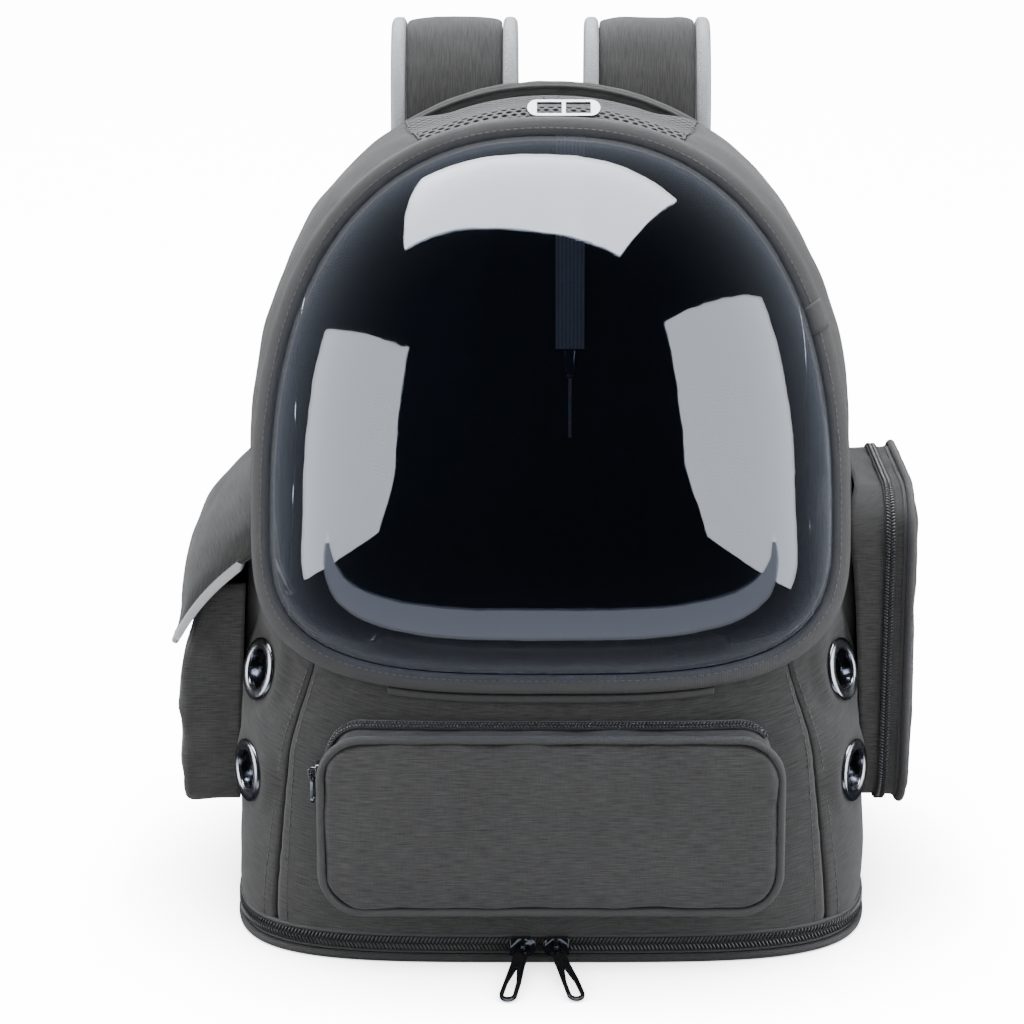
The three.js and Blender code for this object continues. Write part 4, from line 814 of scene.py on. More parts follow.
class Finishes:
    """Every material, built once."""

    def __init__(self) -> None:
        """Builds them all."""
        self.cloth = MarledCloth("marled_cloth", tone=0.064).build()
        self.pad = MarledCloth("marled_pad", tone=0.068).build()
        self.lining = SmoothThread("lining", tone=0.012, roughness=0.8).build()
        self.trim = BoundEdge("grey_binding", tone=0.06).build()
        self.dark_trim = BoundEdge("dark_piping", tone=0.036).build()
        self.pale = BoundEdge("pale_binding", tone=0.62, coolness=0.03, roughness=0.6).build()
        self.mesh = BoundEdge("spacer_mesh", tone=0.075, pitch=0.7).build()
        self.under = SmoothThread("mesh_backing", tone=0.02, roughness=0.9).build()
        self.coil = SmoothThread("zip_coil", tone=0.045, roughness=0.3).build()
        self.tape = BoundEdge("zip_tape", tone=0.016, pitch=0.7).build()
        self.thread = SmoothThread("grey_thread", tone=0.1, roughness=0.5).build()
        self.pale_thread = SmoothThread("pale_thread", tone=0.62, roughness=0.5, coolness=0.03).build()
        self.webbing = Webbing("ribbed_webbing", tone=0.17).build()
        self.bubble = ClearBubble("clear_bubble").build()
        self.gunmetal = PolishedMetal("gunmetal", (0.2, 0.2, 0.21), roughness=0.2).build()
        self.black = PolishedMetal("black_gloss_metal", (0.014, 0.014, 0.016), metallic=0.4, roughness=0.1,
                                   coat=1.0).build()


# The bag's shell


def side_grid(columns: Array, sides: Array, rows: Array) -> Array:
    """Grid of shell points, with one column for each s and side."""
    return SHAPE.shell(columns[:, None], rows[None, :], sides[:, None])


def outward(grid: Array, loop: bool = False) -> Array:
    """Normals of a shell grid, turned so that they point away from the bag's middle."""
    normals = grid_normals(grid, loop)
    middle = grid.mean(axis=(0, 1)) - np.array([0.0, 0.0, BODY.widest_z - 20.0])
    if float(np.sum(normals.mean(axis=(0, 1)) * middle)) < 0.0:
        normals = -normals
    return normals


@dataclass(frozen=True)
class EyeletSize:
    """Sizes of one metal eyelet."""

    outer: float = 16.7
    hole: float = 10.25
    barrel: float = 1.6
    depth: float = 5.2
    places: tuple = ((152.5, 144.0, "upper"), (159.0, 91.0, "lower"))


class Eyelet:
    """One eyelet: where it sits on the shell and its turned ring."""

    size = EyeletSize()

    def __init__(self, side: Side, x: float, z: float, level: str) -> None:
        """Finds the seat on the shell nearest to x and z, ahead of the side's middle."""
        self.side = side
        self.name = f"eyelet_{side.name.lower()}_{level}"
        s, t, span = 0.3, 0.5, 0.5
        while span > 0.0008:
            s_try = np.clip(np.linspace(s - span, s + span, 33), 0.05, 0.6)[:, None]
            t_try = np.clip(np.linspace(t - span, t + span, 33), 0.02, 0.98)[None, :]
            p = SHAPE.shell(s_try, t_try, 1.0)
            miss = np.hypot(p[..., 0] - x, p[..., 2] - z) + np.maximum(0.0, p[..., 1] + 20.0)
            i, j = np.unravel_index(np.argmin(miss), miss.shape)
            s, t = float(s_try[i, 0]), float(t_try[0, j])
            span /= 3.0
        step = 0.03
        around = SHAPE.shell(np.array([s, s + step, s - step, s, s]), np.array([t, t, t, t + step, t - step]),
                             float(side.value))
        self.seat = around[0]
        self.normal = unit(np.cross(around[3] - around[4], around[1] - around[2])) * side.value

    def flatten(self, grid: Array) -> tuple[Array, Array]:
        """Grid pressed flat under the flange, and each point's distance from the hole's axis."""
        offset = grid - self.seat
        height = np.sum(offset * self.normal, axis=-1)
        away = np.linalg.norm(offset - height[..., None] * self.normal, axis=-1)
        away = np.where(np.abs(height) < 30.0, away, 1e3)
        press = 1.0 - smooth(self.size.outer + 1.0, self.size.outer + 11.0, away)
        return grid - (height * press)[..., None] * self.normal, away

    def build(self, finish: Finishes) -> None:
        """Turns the ring, with a rolled face outside and a washer inside."""
        size = self.size
        bore, outer, barrel = size.hole, size.outer, size.hole + size.barrel
        profile = [[bore, -size.depth - 1.0], [bore + 0.4, -size.depth - 1.5], [outer - 3.6, -size.depth - 1.3],
                   [outer - 3.0, -size.depth - 0.8], [outer - 3.2, -size.depth], [barrel, -size.depth],
                   [barrel, 0.35], [outer - 0.3, 0.35], [outer, 0.7]]
        for share in np.linspace(0.0, 1.0, 9):
            turn = math.pi * share
            profile.append([mix(outer, bore, (1.0 - math.cos(turn)) / 2.0), 0.8 + 1.7 * math.sin(turn) ** 0.8])
        rail = np.array(profile)
        side = unit(np.cross(self.normal, np.array([0.0, 0.0, 1.0])))
        other = np.cross(self.normal, side)
        turns = np.linspace(0.0, 2.0 * np.pi, 72, endpoint=False)[:, None, None]
        ring = np.cos(turns) * side + np.sin(turns) * other
        grid = self.seat + ring * rail[None, :, :1] + self.normal * rail[None, :, 1:]
        sheet = Sheet()
        sheet.add_grid(grid, loop_rows=True, loop_columns=True)
        own(sheet.make(f"{self.name}_ring", finish.gunmetal), "gunmetal", CARRIER, self.name)


class Shell:
    """Cloth panels of the body: front, sides and the seams between them."""

    thickness: float = 2.4
    crease: float = 0.55

    def __init__(self, finish: Finishes) -> None:
        """Keeps the materials and seats the eyelets."""
        self.finish = finish
        self.eyelets = [Eyelet(side, *place) for side in Side for place in EyeletSize.places]

    def dress(self, grid: Array, seed: int, seam_rows: bool = True) -> tuple[Array, Array]:
        """Adds the cloth's relief: shallow dents all over, and puckers along its seams."""
        normals = outward(grid)
        rows, columns = grid.shape[:2]
        i = np.linspace(0.0, 1.0, rows)[:, None]
        j = np.linspace(0.0, 1.0, columns)[None, :]
        inside = smooth(0.0, 0.12, i) * smooth(0.0, 0.12, 1.0 - i)
        inside = inside * smooth(0.0, 0.08, j) * smooth(0.0, 0.08, 1.0 - j)
        across = lengths(grid, 0)
        near = np.minimum(across, across[-1:] - across)
        down = lengths(grid, 1)
        edge = np.minimum(down, down[:, -1:] - down)
        lift = inside * self.crease * ripple(grid, 62.0, seed)
        lift += inside * 0.25 * ripple(grid, 24.0, seed + 1)
        lift += 0.3 * np.exp(-edge / 7.0) * ripple(grid, 11.0, seed + 2, 5)
        if seam_rows:
            lift -= 0.9 * np.exp(-((near / 1.6) ** 2))
            lift += 0.25 * np.exp(-near / 6.0) * ripple(grid, 9.0, seed + 3, 5)
        return grid + lift[..., None] * normals, normals

    def panel(self, name: str, columns: Array, sides: Array, seed: int, rows: int) -> None:
        """One sewn panel, with the eyelets' holes cut where they fall on it."""
        grid = side_grid(columns, sides, np.linspace(0.0, 1.0, rows) ** 1.1)
        away = np.full(grid.shape[:2], 1e3)
        outer, normals = self.dress(grid, seed)
        for eyelet in self.eyelets:
            if eyelet.side.value == sides[0] and sides[0] == sides[-1]:
                outer, distance = eyelet.flatten(outer)
                away = np.minimum(away, distance)
        inner = outer - normals * self.thickness
        middle = (away[:-1, :-1] + away[1:, 1:] + away[:-1, 1:] + away[1:, :-1]) / 4.0
        sheet = wall(outer, inner, middle > EyeletSize.hole + 1.1)
        self.face_out(sheet, outer, normals)
        piece = own(sheet.make(f"{name}_cloth", self.finish.cloth, self.finish.lining), "body_cloth", CARRIER, name)

    @staticmethod
    def face_out(sheet: Sheet, outer: Array, normals: Array) -> None:
        """Turns every face round where the grid's own order faces inwards."""
        made = grid_normals(outer)
        if float(np.sum(made * normals)) < 0.0:
            sheet.faces = [face[::-1] for face in sheet.faces]

    def build(self) -> None:
        """Builds the panels, the seam stitching and the eyelets."""
        seam, corner = BODY.front_seam_s, SHAPE.mesh_seam()
        half = np.linspace(0.006, seam - 0.001, 84)
        columns = np.concatenate([half[::-1], half])
        sides = np.concatenate([-np.ones(84), np.ones(84)])
        self.panel("front_panel", columns, sides, 3, 84)
        for side in Side:
            lower = np.linspace(seam + 0.001, BODY.corner_s, 90)
            upper = np.linspace(BODY.corner_s, corner - 0.001, 130)[1:]
            stations = np.concatenate([lower, upper])
            self.panel(f"side_panel_{side.name.lower()}", stations, np.full(len(stations), float(side.value)),
                       11 + side.value, 112)
        self.seams(seam)
        for eyelet in self.eyelets:
            eyelet.build(self.finish)

    def seams(self, seam: float) -> None:
        """Rows of stitches beside the front seams."""
        sheet = Sheet()
        t = np.linspace(0.06, 0.97, 120)
        for side in Side:
            for shift in (-0.0075, 0.0085):
                line = SHAPE.shell(np.full_like(t, seam + shift), t, float(side.value))
                out = unit(line - np.array([0.0, 20.0, 100.0])) * np.array([1.0, 1.0, 0.15])
                stitches(sheet, line + unit(out) * 0.15, unit(out), 3.4, 2.5, 0.26)
        own(sheet.make("seam_stitches", self.finish.thread), "body_cloth", CARRIER)


class MeshTop:
    """Spacer mesh over the top, a honeycomb with a real hole in each cell, on a dark backing."""

    pitch: float = 4.6
    hole: float = 0.66
    rear_drop: float = 6.0

    def __init__(self, finish: Finishes) -> None:
        """Keeps the materials."""
        self.finish = finish

    def surface(self, u: Array, v: Array, lift: float) -> Array:
        """Point of the mesh top: u from left to right, v from the window back."""
        seam = SHAPE.mesh_seam()
        x = (u - 0.5) * 2.0 * BODY.mesh_half_width
        share = np.clip(np.abs(x) / WINDOW.half_width, 0.0, 1.0)
        s = np.clip(0.5 + np.arccos(share ** (WINDOW.high_power / 2.0)) / np.pi, seam, 0.9985)
        grid = SHAPE.shell(s, v, np.where(x < 0.0, -1.0, 1.0))
        tight = np.abs(x) < 4.0
        grid[..., 0] = np.where(tight, x * (1.0 + v * 0.2), grid[..., 0])
        fade = 1.0 - smooth(0.7, 1.0, np.abs(x) / BODY.mesh_half_width)
        grid[..., 2] += lift - self.rear_drop * smooth(0.45, 1.0, v) * fade
        return grid

    def build(self) -> None:
        """Builds the honeycomb and its backing."""
        width, depth = 2.0 * BODY.mesh_half_width, 100.0
        across = int(width / self.pitch)
        down = int(depth / (self.pitch * 0.82))
        column, row = np.meshgrid(np.arange(across + 1), np.arange(down + 1), indexing="ij")
        centre = np.stack([(column + 0.5 * (row % 2)) * self.pitch, row * self.pitch * 0.86], axis=-1).reshape(-1, 2)
        turns = np.radians(30.0 + 60.0 * np.arange(6))
        corner = np.stack([np.cos(turns), np.sin(turns)], axis=-1)
        outer = centre[:, None] + corner * self.pitch / math.sqrt(3.0)
        inner = centre[:, None] + corner * self.pitch / math.sqrt(3.0) * self.hole
        flat = np.concatenate([outer, inner], axis=1)
        u = np.clip(flat[..., 0] / (across * self.pitch), 0.0, 1.0)
        v = np.clip(flat[..., 1] / (down * self.pitch * 0.86), 0.004, 0.996)
        points = self.surface(u, v, 0.0)
        k = np.arange(6)
        ring = np.stack([k, (k + 1) % 6, (k + 1) % 6 + 6, k + 6], axis=-1)
        faces = (ring[None] + (np.arange(len(centre)) * 12)[:, None, None]).reshape(-1, 4)
        sheet = Sheet()
        sheet.add(points, faces)
        mesh = sheet.make("mesh_top_honeycomb", self.finish.mesh)
        shape_up(mesh, merge=0.0002, solid=0.0011, levels=1)
        own(mesh, "mesh_cloth", CARRIER, "mesh_top")
        u2, v2 = np.meshgrid(np.linspace(0.002, 0.998, 60), np.linspace(0.006, 0.99, 40), indexing="ij")
        top = self.surface(u2, v2, -1.9)
        below = self.surface(u2, v2, -2.7)
        back = wall(top, below)
        Shell.face_out(back, top, np.broadcast_to(np.array([0.0, 0.0, 1.0]), top.shape))
        own(back.make("mesh_top_backing", self.finish.under, self.finish.lining), "mesh_cloth", CARRIER)


def apply_modifiers(obj: bpy.types.Object) -> None:
    """Turns an object's modifiers into plain mesh."""
    bpy.context.view_layer.update()
    graph = bpy.context.evaluated_depsgraph_get()
    made = bpy.data.meshes.new_from_object(obj.evaluated_get(graph))
    obj.modifiers.clear()
    old = obj.data
    obj.data = made
    bpy.data.meshes.remove(old)


def shape_up(obj: bpy.types.Object, merge: float = 0.0, solid: float = 0.0, bevel: float = 0.0, levels: int = 0,
             segments: int = 2) -> None:
    """Welds, thickens, bevels and subdivides, then applies it all."""
    if merge > 0.0:
        obj.modifiers.new("weld", "WELD").merge_threshold = merge
    if solid > 0.0:
        thick = obj.modifiers.new("solid", "SOLIDIFY")
        thick.thickness = solid
        thick.offset = -1.0
    if bevel > 0.0:
        edge = obj.modifiers.new("bevel", "BEVEL")
        edge.width = bevel
        edge.segments = segments
        edge.limit_method = "ANGLE"
        edge.angle_limit = math.radians(28.0)
        edge.harden_normals = False
    if levels > 0:
        fine = obj.modifiers.new("fine", "SUBSURF")
        fine.levels = levels
        fine.render_levels = levels
    apply_modifiers(obj)


def refined(node: str, name: str, material: bpy.types.Material, bevel: float, segments: int = 3) -> bpy.types.Object:
    """Copy of a CAD node's mesh with rounded edges, in a finish of its own."""
    source = next(o for o in bpy.data.objects if o.type == "MESH" and o.name == node)
    mesh = source.data.copy()
    mesh.materials.clear()
    mesh.materials.append(material)
    obj = bpy.data.objects.new(name, mesh)
    bpy.context.scene.collection.objects.link(obj)
    weld = obj.modifiers.new("weld", "WELD")
    weld.merge_threshold = 0.00002
    flat = obj.modifiers.new("flat", "DECIMATE")
    flat.decimate_type = "DISSOLVE"
    flat.angle_limit = math.radians(1.0)
    shape_up(obj, bevel=bevel * MM, segments=segments)
    obj.data.polygons.foreach_set("use_smooth", np.ones(len(obj.data.polygons), bool))
    obj.data.set_sharp_from_angle(angle=math.radians(50.0))
    return obj


# Window


def window_columns(count: int) -> tuple[Array, Array]:
    """Stations round the window: up the right side, then down the left."""
    s = np.linspace(0.0, 1.0, count + 1)
    columns = np.concatenate([s, s[1:-1][::-1]])
    sides = np.concatenate([np.ones(count + 1), -np.ones(count - 1)])
    return columns, sides


class Window:
    """Clear bubble, its woven binding and the short strip under it."""

    strip_half: float = 86.0

    def __init__(self, finish: Finishes) -> None:
        """Keeps the materials."""
        self.finish = finish

    @staticmethod
    def dome(s: Array, side: Array, share: Array, depth: float) -> Array:
        """Bubble surface: the window's face raised by a bulge that ends at its edge."""
        edge = SHAPE.window_point(s, side, WINDOW.dome_edge + depth)
        middle_z = (WINDOW.bottom_z + WINDOW.top_z) / 2.0
        x = edge[..., 0] * share
        z = mix(middle_z, edge[..., 2], share)
        bulge = (WINDOW.bulge - depth) * np.maximum(0.0, 1.0 - share ** 2.2) ** 0.6
        return SHAPE.window_plane(x, z) + bulge[..., None] * SHAPE.forward

    def bubble(self) -> None:
        """The clear bubble, as one closed thin wall."""
        columns, sides = window_columns(120)
        share = np.sin(np.linspace(1.0, 0.004, 74) * np.pi / 2.0)
        outer = self.dome(columns[:, None], sides[:, None], share[None, :], 0.0)
        inner = self.dome(columns[:, None], sides[:, None], share[None, :], WINDOW.dome_wall)
        sheet = Sheet()
        sheet.add_grid(outer, loop_rows=True)
        sheet.add_grid(inner, loop_rows=True, flip=True)
        rim = np.stack([outer[:, 0], inner[:, 0]], axis=1)
        sheet.add_grid(rim, loop_rows=True, flip=True)
        for layer, flip in ((outer, False), (inner, True)):
            ring = layer[:, -1]
            pole = np.concatenate([ring, ring.mean(0, keepdims=True)])
            k = np.arange(len(ring))
            faces = np.stack([k, (k + 1) % len(ring), np.full(len(ring), len(ring))], axis=-1)
            sheet.add(pole, faces[:, ::-1] if flip else faces)
        if float(np.sum(grid_normals(outer)[:, 30] * SHAPE.forward)) < 0.0:
            sheet.faces = [face[::-1] for face in sheet.faces]
        own(sheet.make("window_bubble", self.finish.bubble), "clear_window", CARRIER, "window_dome")

    def binding(self) -> None:
        """Woven binding round the window, with its row of stitches and one lapped end."""
        columns, sides = window_columns(260)
        point, across, up = SHAPE.window_frame(columns, sides)
        sheet = Sheet()
        swell = 1.0 + 0.05 * ripple(point, 16.0, 21)[:, None]
        tube(sheet, point, across * 1.02, up * swell, sides=20, power=2.5, loop=True)
        stitches(sheet, point - across * 0.35 + up * 0.99, unit(up), 3.6, 2.6, 0.26, loop=True, slot=1)
        lap = (columns > 0.63) & (columns < 0.66) & (sides > 0.0)
        tube(sheet, point[lap], across[lap] * 1.1, up[lap] * 1.12, sides=16, power=2.5)
        own(sheet.make("window_edge", self.finish.trim, self.finish.thread), "trim", CARRIER, "window_binding")

    def strip(self) -> None:
        """Short flat strip under the binding."""
        half = math.acos((self.strip_half / WINDOW.half_width) ** (WINDOW.low_power / 2.0)) / math.pi
        s = np.linspace(0.002, 0.5 - half, 60)
        s = np.concatenate([s[::-1], s])
        side = np.concatenate([-np.ones(60), np.ones(60)])
        point = SHAPE.shell(s, np.full_like(s, 0.035), side)
        down = unit(SHAPE.shell(s, np.full_like(s, 0.07), side) - point)
        out = unit(np.array([0.0, -1.0, 0.0]) + down * down[:, 1:2])
        point = point + out * 1.8
        sheet = Sheet()
        tube(sheet, point, down * 2.0, out * 1.2, sides=14, power=3.0)
        own(sheet.make("window_lower_strip", self.finish.trim), "trim", CARRIER, "lower_strip")

    def build(self) -> None:
        """Builds the window."""
        self.bubble()
        self.binding()
        self.strip()


# Base


@dataclass(frozen=True)
class BaseSize:
    """Sizes of the base."""

    height: float = 6.5
    floor: float = 3.0
    zip_height: float = 8.0
    zip_proud: float = 1.2
    zip_turn: float = 2.05
    piping: float = 2.2


class Base:
    """Stiff tray, piping round its foot, coil zip above it, and the sliders with their pulls."""

    size = BaseSize()

    def __init__(self, finish: Finishes) -> None:
        """Keeps the materials."""
        self.finish = finish

    @staticmethod
    def edge(turn: Array, inset: float, z: float) -> tuple[Array, Array]:
        """Point at the base's edge and the way out from it."""
        out = np.stack([np.sin(turn), -np.cos(turn), np.zeros_like(turn)], axis=-1)
        point = SHAPE.base_outline(turn, BODY.shell_bottom) - out * inset
        point[..., 2] = z
        return point, out

    def build(self) -> None:
        """Builds the base."""
        size = self.size
        turn = np.linspace(-np.pi, np.pi, 360, endpoint=False)
        foot = size.piping + BODY.gap
        step = 2.0 * size.piping + 2.0 * BODY.gap
        stations = [(foot + 40.0, 0.0), (foot + 1.0, 0.0), (foot, 0.4), (foot, step), (0.4, step), (0.0, step + 0.4),
                    (0.0, size.height - 0.5), (0.6, size.height), (foot + BODY.wall, size.height),
                    (foot + BODY.wall, size.floor), (foot + 40.0, size.floor)]
        rings = np.stack([self.edge(turn, inset, z)[0] for inset, z in stations], axis=1)
        sheet = Sheet()
        sheet.add_grid(rings, loop_rows=True, flip=True)
        for k, flip in ((0, True), (-1, False)):
            ring = rings[:, k]
            fan = np.concatenate([ring, ring.mean(0, keepdims=True)])
            i = np.arange(len(ring))
            faces = np.stack([i, (i + 1) % len(ring), np.full(len(ring), len(ring))], axis=-1)
            sheet.add(fan, faces[:, ::-1] if flip else faces)
        own(sheet.make("base_tray_cloth", self.finish.trim), "trim", CARRIER, "base_tray")
        cord = Sheet()
        point, out = self.edge(turn, 0.0, size.piping + BODY.gap / 2.0)
        up = np.tile([0.0, 0.0, size.piping], (len(turn), 1))
        tube(cord, point, out * size.piping, up, sides=14, loop=True)
        own(cord.make("base_piping_cord", self.finish.dark_trim), "dark_trim", CARRIER, "base_piping")
        self.coil()
        for side in ("left", "right"):
            slider = refined(f"base_slider_{side}", f"base_slider_{side}_body", self.finish.black, 0.55)
            own(slider, "black_metal", CARRIER, f"base_slider_{side}")
            pull = refined(f"base_pull_{side}", f"base_pull_{side}_body", self.finish.black, 0.4)
            own(pull, "black_metal", f"base_pull_{side}", f"base_pull_{side}")

    def coil(self) -> None:
        """Zip tape with two rows of coil teeth, and the cloth lip that shades it."""
        size = self.size
        turn = np.linspace(-size.zip_turn, size.zip_turn, 420)
        middle_z = size.height + BODY.gap + size.zip_height / 2.0
        point, out = self.edge(turn, 1.4 - size.zip_proud, middle_z)
        up = np.tile([0.0, 0.0, size.zip_height / 2.0], (len(turn), 1))
        sheet = Sheet()
        tube(sheet, point, out * 1.0, up, sides=12, power=5.0)
        coil_zip(sheet, point + out * 1.1, out, size.zip_height, pitch=2.0, tooth=3.9, slot=1)
        own(sheet.make("base_zip_coil", self.finish.tape, self.finish.coil), "zip_coil", CARRIER, "base_zip")
        lip = Sheet()
        all_round = np.linspace(-np.pi, np.pi, 400, endpoint=False)
        seat, way = self.edge(all_round, 0.1, BODY.shell_bottom + 0.3)
        tube(lip, seat, way * 1.15, np.tile([0.0, 0.0, 1.0], (len(all_round), 1)), sides=10, loop=True)
        own(lip.make("base_hem", self.finish.trim), "trim", CARRIER)


# Back


class Back:
    """Padded back panel inside the roll that runs up its edge and over the top."""

    roll_radius: float = 5.0
    fullness: float = 1.12
    roll_inset: float = 3.0
    pad: float = 13.0

    def __init__(self, finish: Finishes) -> None:
        """Keeps the materials."""
        self.finish = finish

    @staticmethod
    def rear(angle: Array, inset: float, back: float) -> tuple[Array, Array]:
        """Point near the rear edge at an angle, and the way out from it."""
        out = np.stack([np.cos(angle), np.zeros_like(angle), np.sin(angle)], axis=-1)
        point = SHAPE.rear_outline(angle) - out * inset
        point[..., 1] = SHAPE.rear_y(point[..., 2]) + back
        return point, out

    def roll(self) -> None:
        """The roll, with its joint and a sewn line along each side."""
        start = SHAPE.corner_rise + 0.02
        angle = np.linspace(start, np.pi - start, 420)
        point, out = self.rear(angle, self.roll_inset, self.roll_radius + BODY.gap)
        radius = self.roll_radius
        up = np.tile([0.0, radius, 0.0], (len(angle), 1))
        sheet = Sheet()
        swell = 1.0 + 0.035 * ripple(point, 20.0, 31)[:, None]
        tube(sheet, point, out * radius * self.fullness * swell, up * swell, sides=20)
        joint = (angle > 0.86) & (angle < 0.885)
        tube(sheet, point[joint], out[joint] * radius * self.fullness * 1.07, up[joint] * 1.07, sides=20)
        seam, way = self.rear(angle, self.roll_inset - radius * 0.66, 0.6)
        tube(sheet, seam, way * 1.1, np.tile([0.0, 1.3, 0.0], (len(angle), 1)), sides=8)
        own(sheet.make("rear_roll_cloth", self.finish.cloth), "body_cloth", CARRIER, "rear_roll")

    def panel(self) -> None:
        """The padded panel: its rings close in on a line up its middle."""
        arch = np.linspace(SHAPE.corner_rise, np.pi - SHAPE.corner_rise, 180)
        inset0 = self.roll_inset + self.roll_radius + 2.0 * BODY.gap
        low_z = BaseSize.height + BODY.gap
        def ring(inset: float, back: float) -> Array:
            point, _ = self.rear(arch, inset0 + inset, back)
            low = np.linspace(point[-1], point[0], 80)[1:-1]
            loop = np.concatenate([point, low])
            floor = low_z + 0.3 * inset
            loop[:, 2] = np.maximum(loop[:, 2], floor)
            loop[180:, 2] = floor
            for end in (0, 179):
                loop[end, 2] = floor
            loop[:, 1] = SHAPE.rear_y(loop[:, 2]) + back
            return loop
        stations = [(1.0, 0.3), (0.3, 1.4), (0.0, 4.0), (0.0, 8.0), (0.6, 10.2), (2.4, 12.0), (5.5, 12.9), (9.0, 13.0)]
        rings = [ring(*station) for station in stations]
        rim = rings[-1]
        core = np.stack([np.zeros(len(rim)), rim[:, 1], np.clip(rim[:, 2], 150.0, 270.0)], axis=-1)
        for share in np.linspace(0.0, 1.0, 60)[1:]:
            face = mix(rim, core, share)
            sag = 0.5 * (1.0 + ripple(face, 70.0, 41)) * smooth(0.0, 0.2, share)
            face[:, 1] = SHAPE.rear_y(face[:, 2]) + self.pad - sag
            rings.append(face)
        grid = np.stack(rings, axis=1)
        sewn = np.exp(-((lengths(grid, 1) - 26.0) / 1.5) ** 2)
        grid[..., 1] -= 1.8 * sewn
        sheet = Sheet()
        sheet.add_grid(grid, loop_rows=True, flip=False)
        front = rings[0]
        spine = np.stack([np.zeros(len(front)), front[:, 1], np.clip(front[:, 2], 150.0, 270.0)], axis=-1)
        inner = np.stack([mix(front, spine, share) for share in np.linspace(0.0, 1.0, 30)], axis=1)
        inner[..., 1] = SHAPE.rear_y(inner[..., 2]) + 0.3
        sheet.add_grid(inner, loop_rows=True, flip=True, slot=1)
        normal = grid_normals(grid)[:, 40]
        if float(normal[:, 1].sum()) < 0.0:
            sheet.faces = [face[::-1] for face in sheet.faces]
        piece = own(sheet.make("back_pad", self.finish.pad, self.finish.lining), "pad_cloth", CARRIER, "back_panel")

    def build(self) -> None:
        """Builds the back."""
        self.roll()
        self.panel()


# Pockets


@dataclass(frozen=True)
class PocketSize:
    """Outline, reach and corner of one pocket, in its own u, v and reach."""

    low: float
    high: float
    bottom: float
    top: float
    reach: float
    corner: float
    crown: float
    rear_rise: float = 0.0
    thick: float = 2.5
    piping: float = 2.1
    zip_half: float = 3.0

    def outline(self, inset: float, arc: int = 16, run: int = 34) -> Array:
        """Rounded outline from the middle of its top, clockwise, as u and v."""
        radius = max(1.0, self.corner - inset)
        left, right = self.low + inset + radius, self.high - inset - radius
        down, up = self.bottom + inset + radius, self.top - inset - radius
        parts = []
        for centre, start in (((right, up), 90.0), ((right, down), 0.0), ((left, down), -90.0), ((left, up), -180.0)):
            turn = np.radians(np.linspace(start, start - 90.0, arc))
            parts.append(np.stack([centre[0] + radius * np.cos(turn), centre[1] + radius * np.sin(turn)], axis=-1))
        middle = np.array([[(left + right) / 2.0, self.top - inset]])
        loop = [middle]
        for k, part in enumerate(parts):
            before = loop[-1][-1]
            straight = mix(before, part[0], np.linspace(0.0, 1.0, run)[1:-1, None])
            loop += [straight, part]
        loop.append(mix(loop[-1][-1], middle[0], np.linspace(0.0, 1.0, run)[1:, None]))
        return np.concatenate(loop)


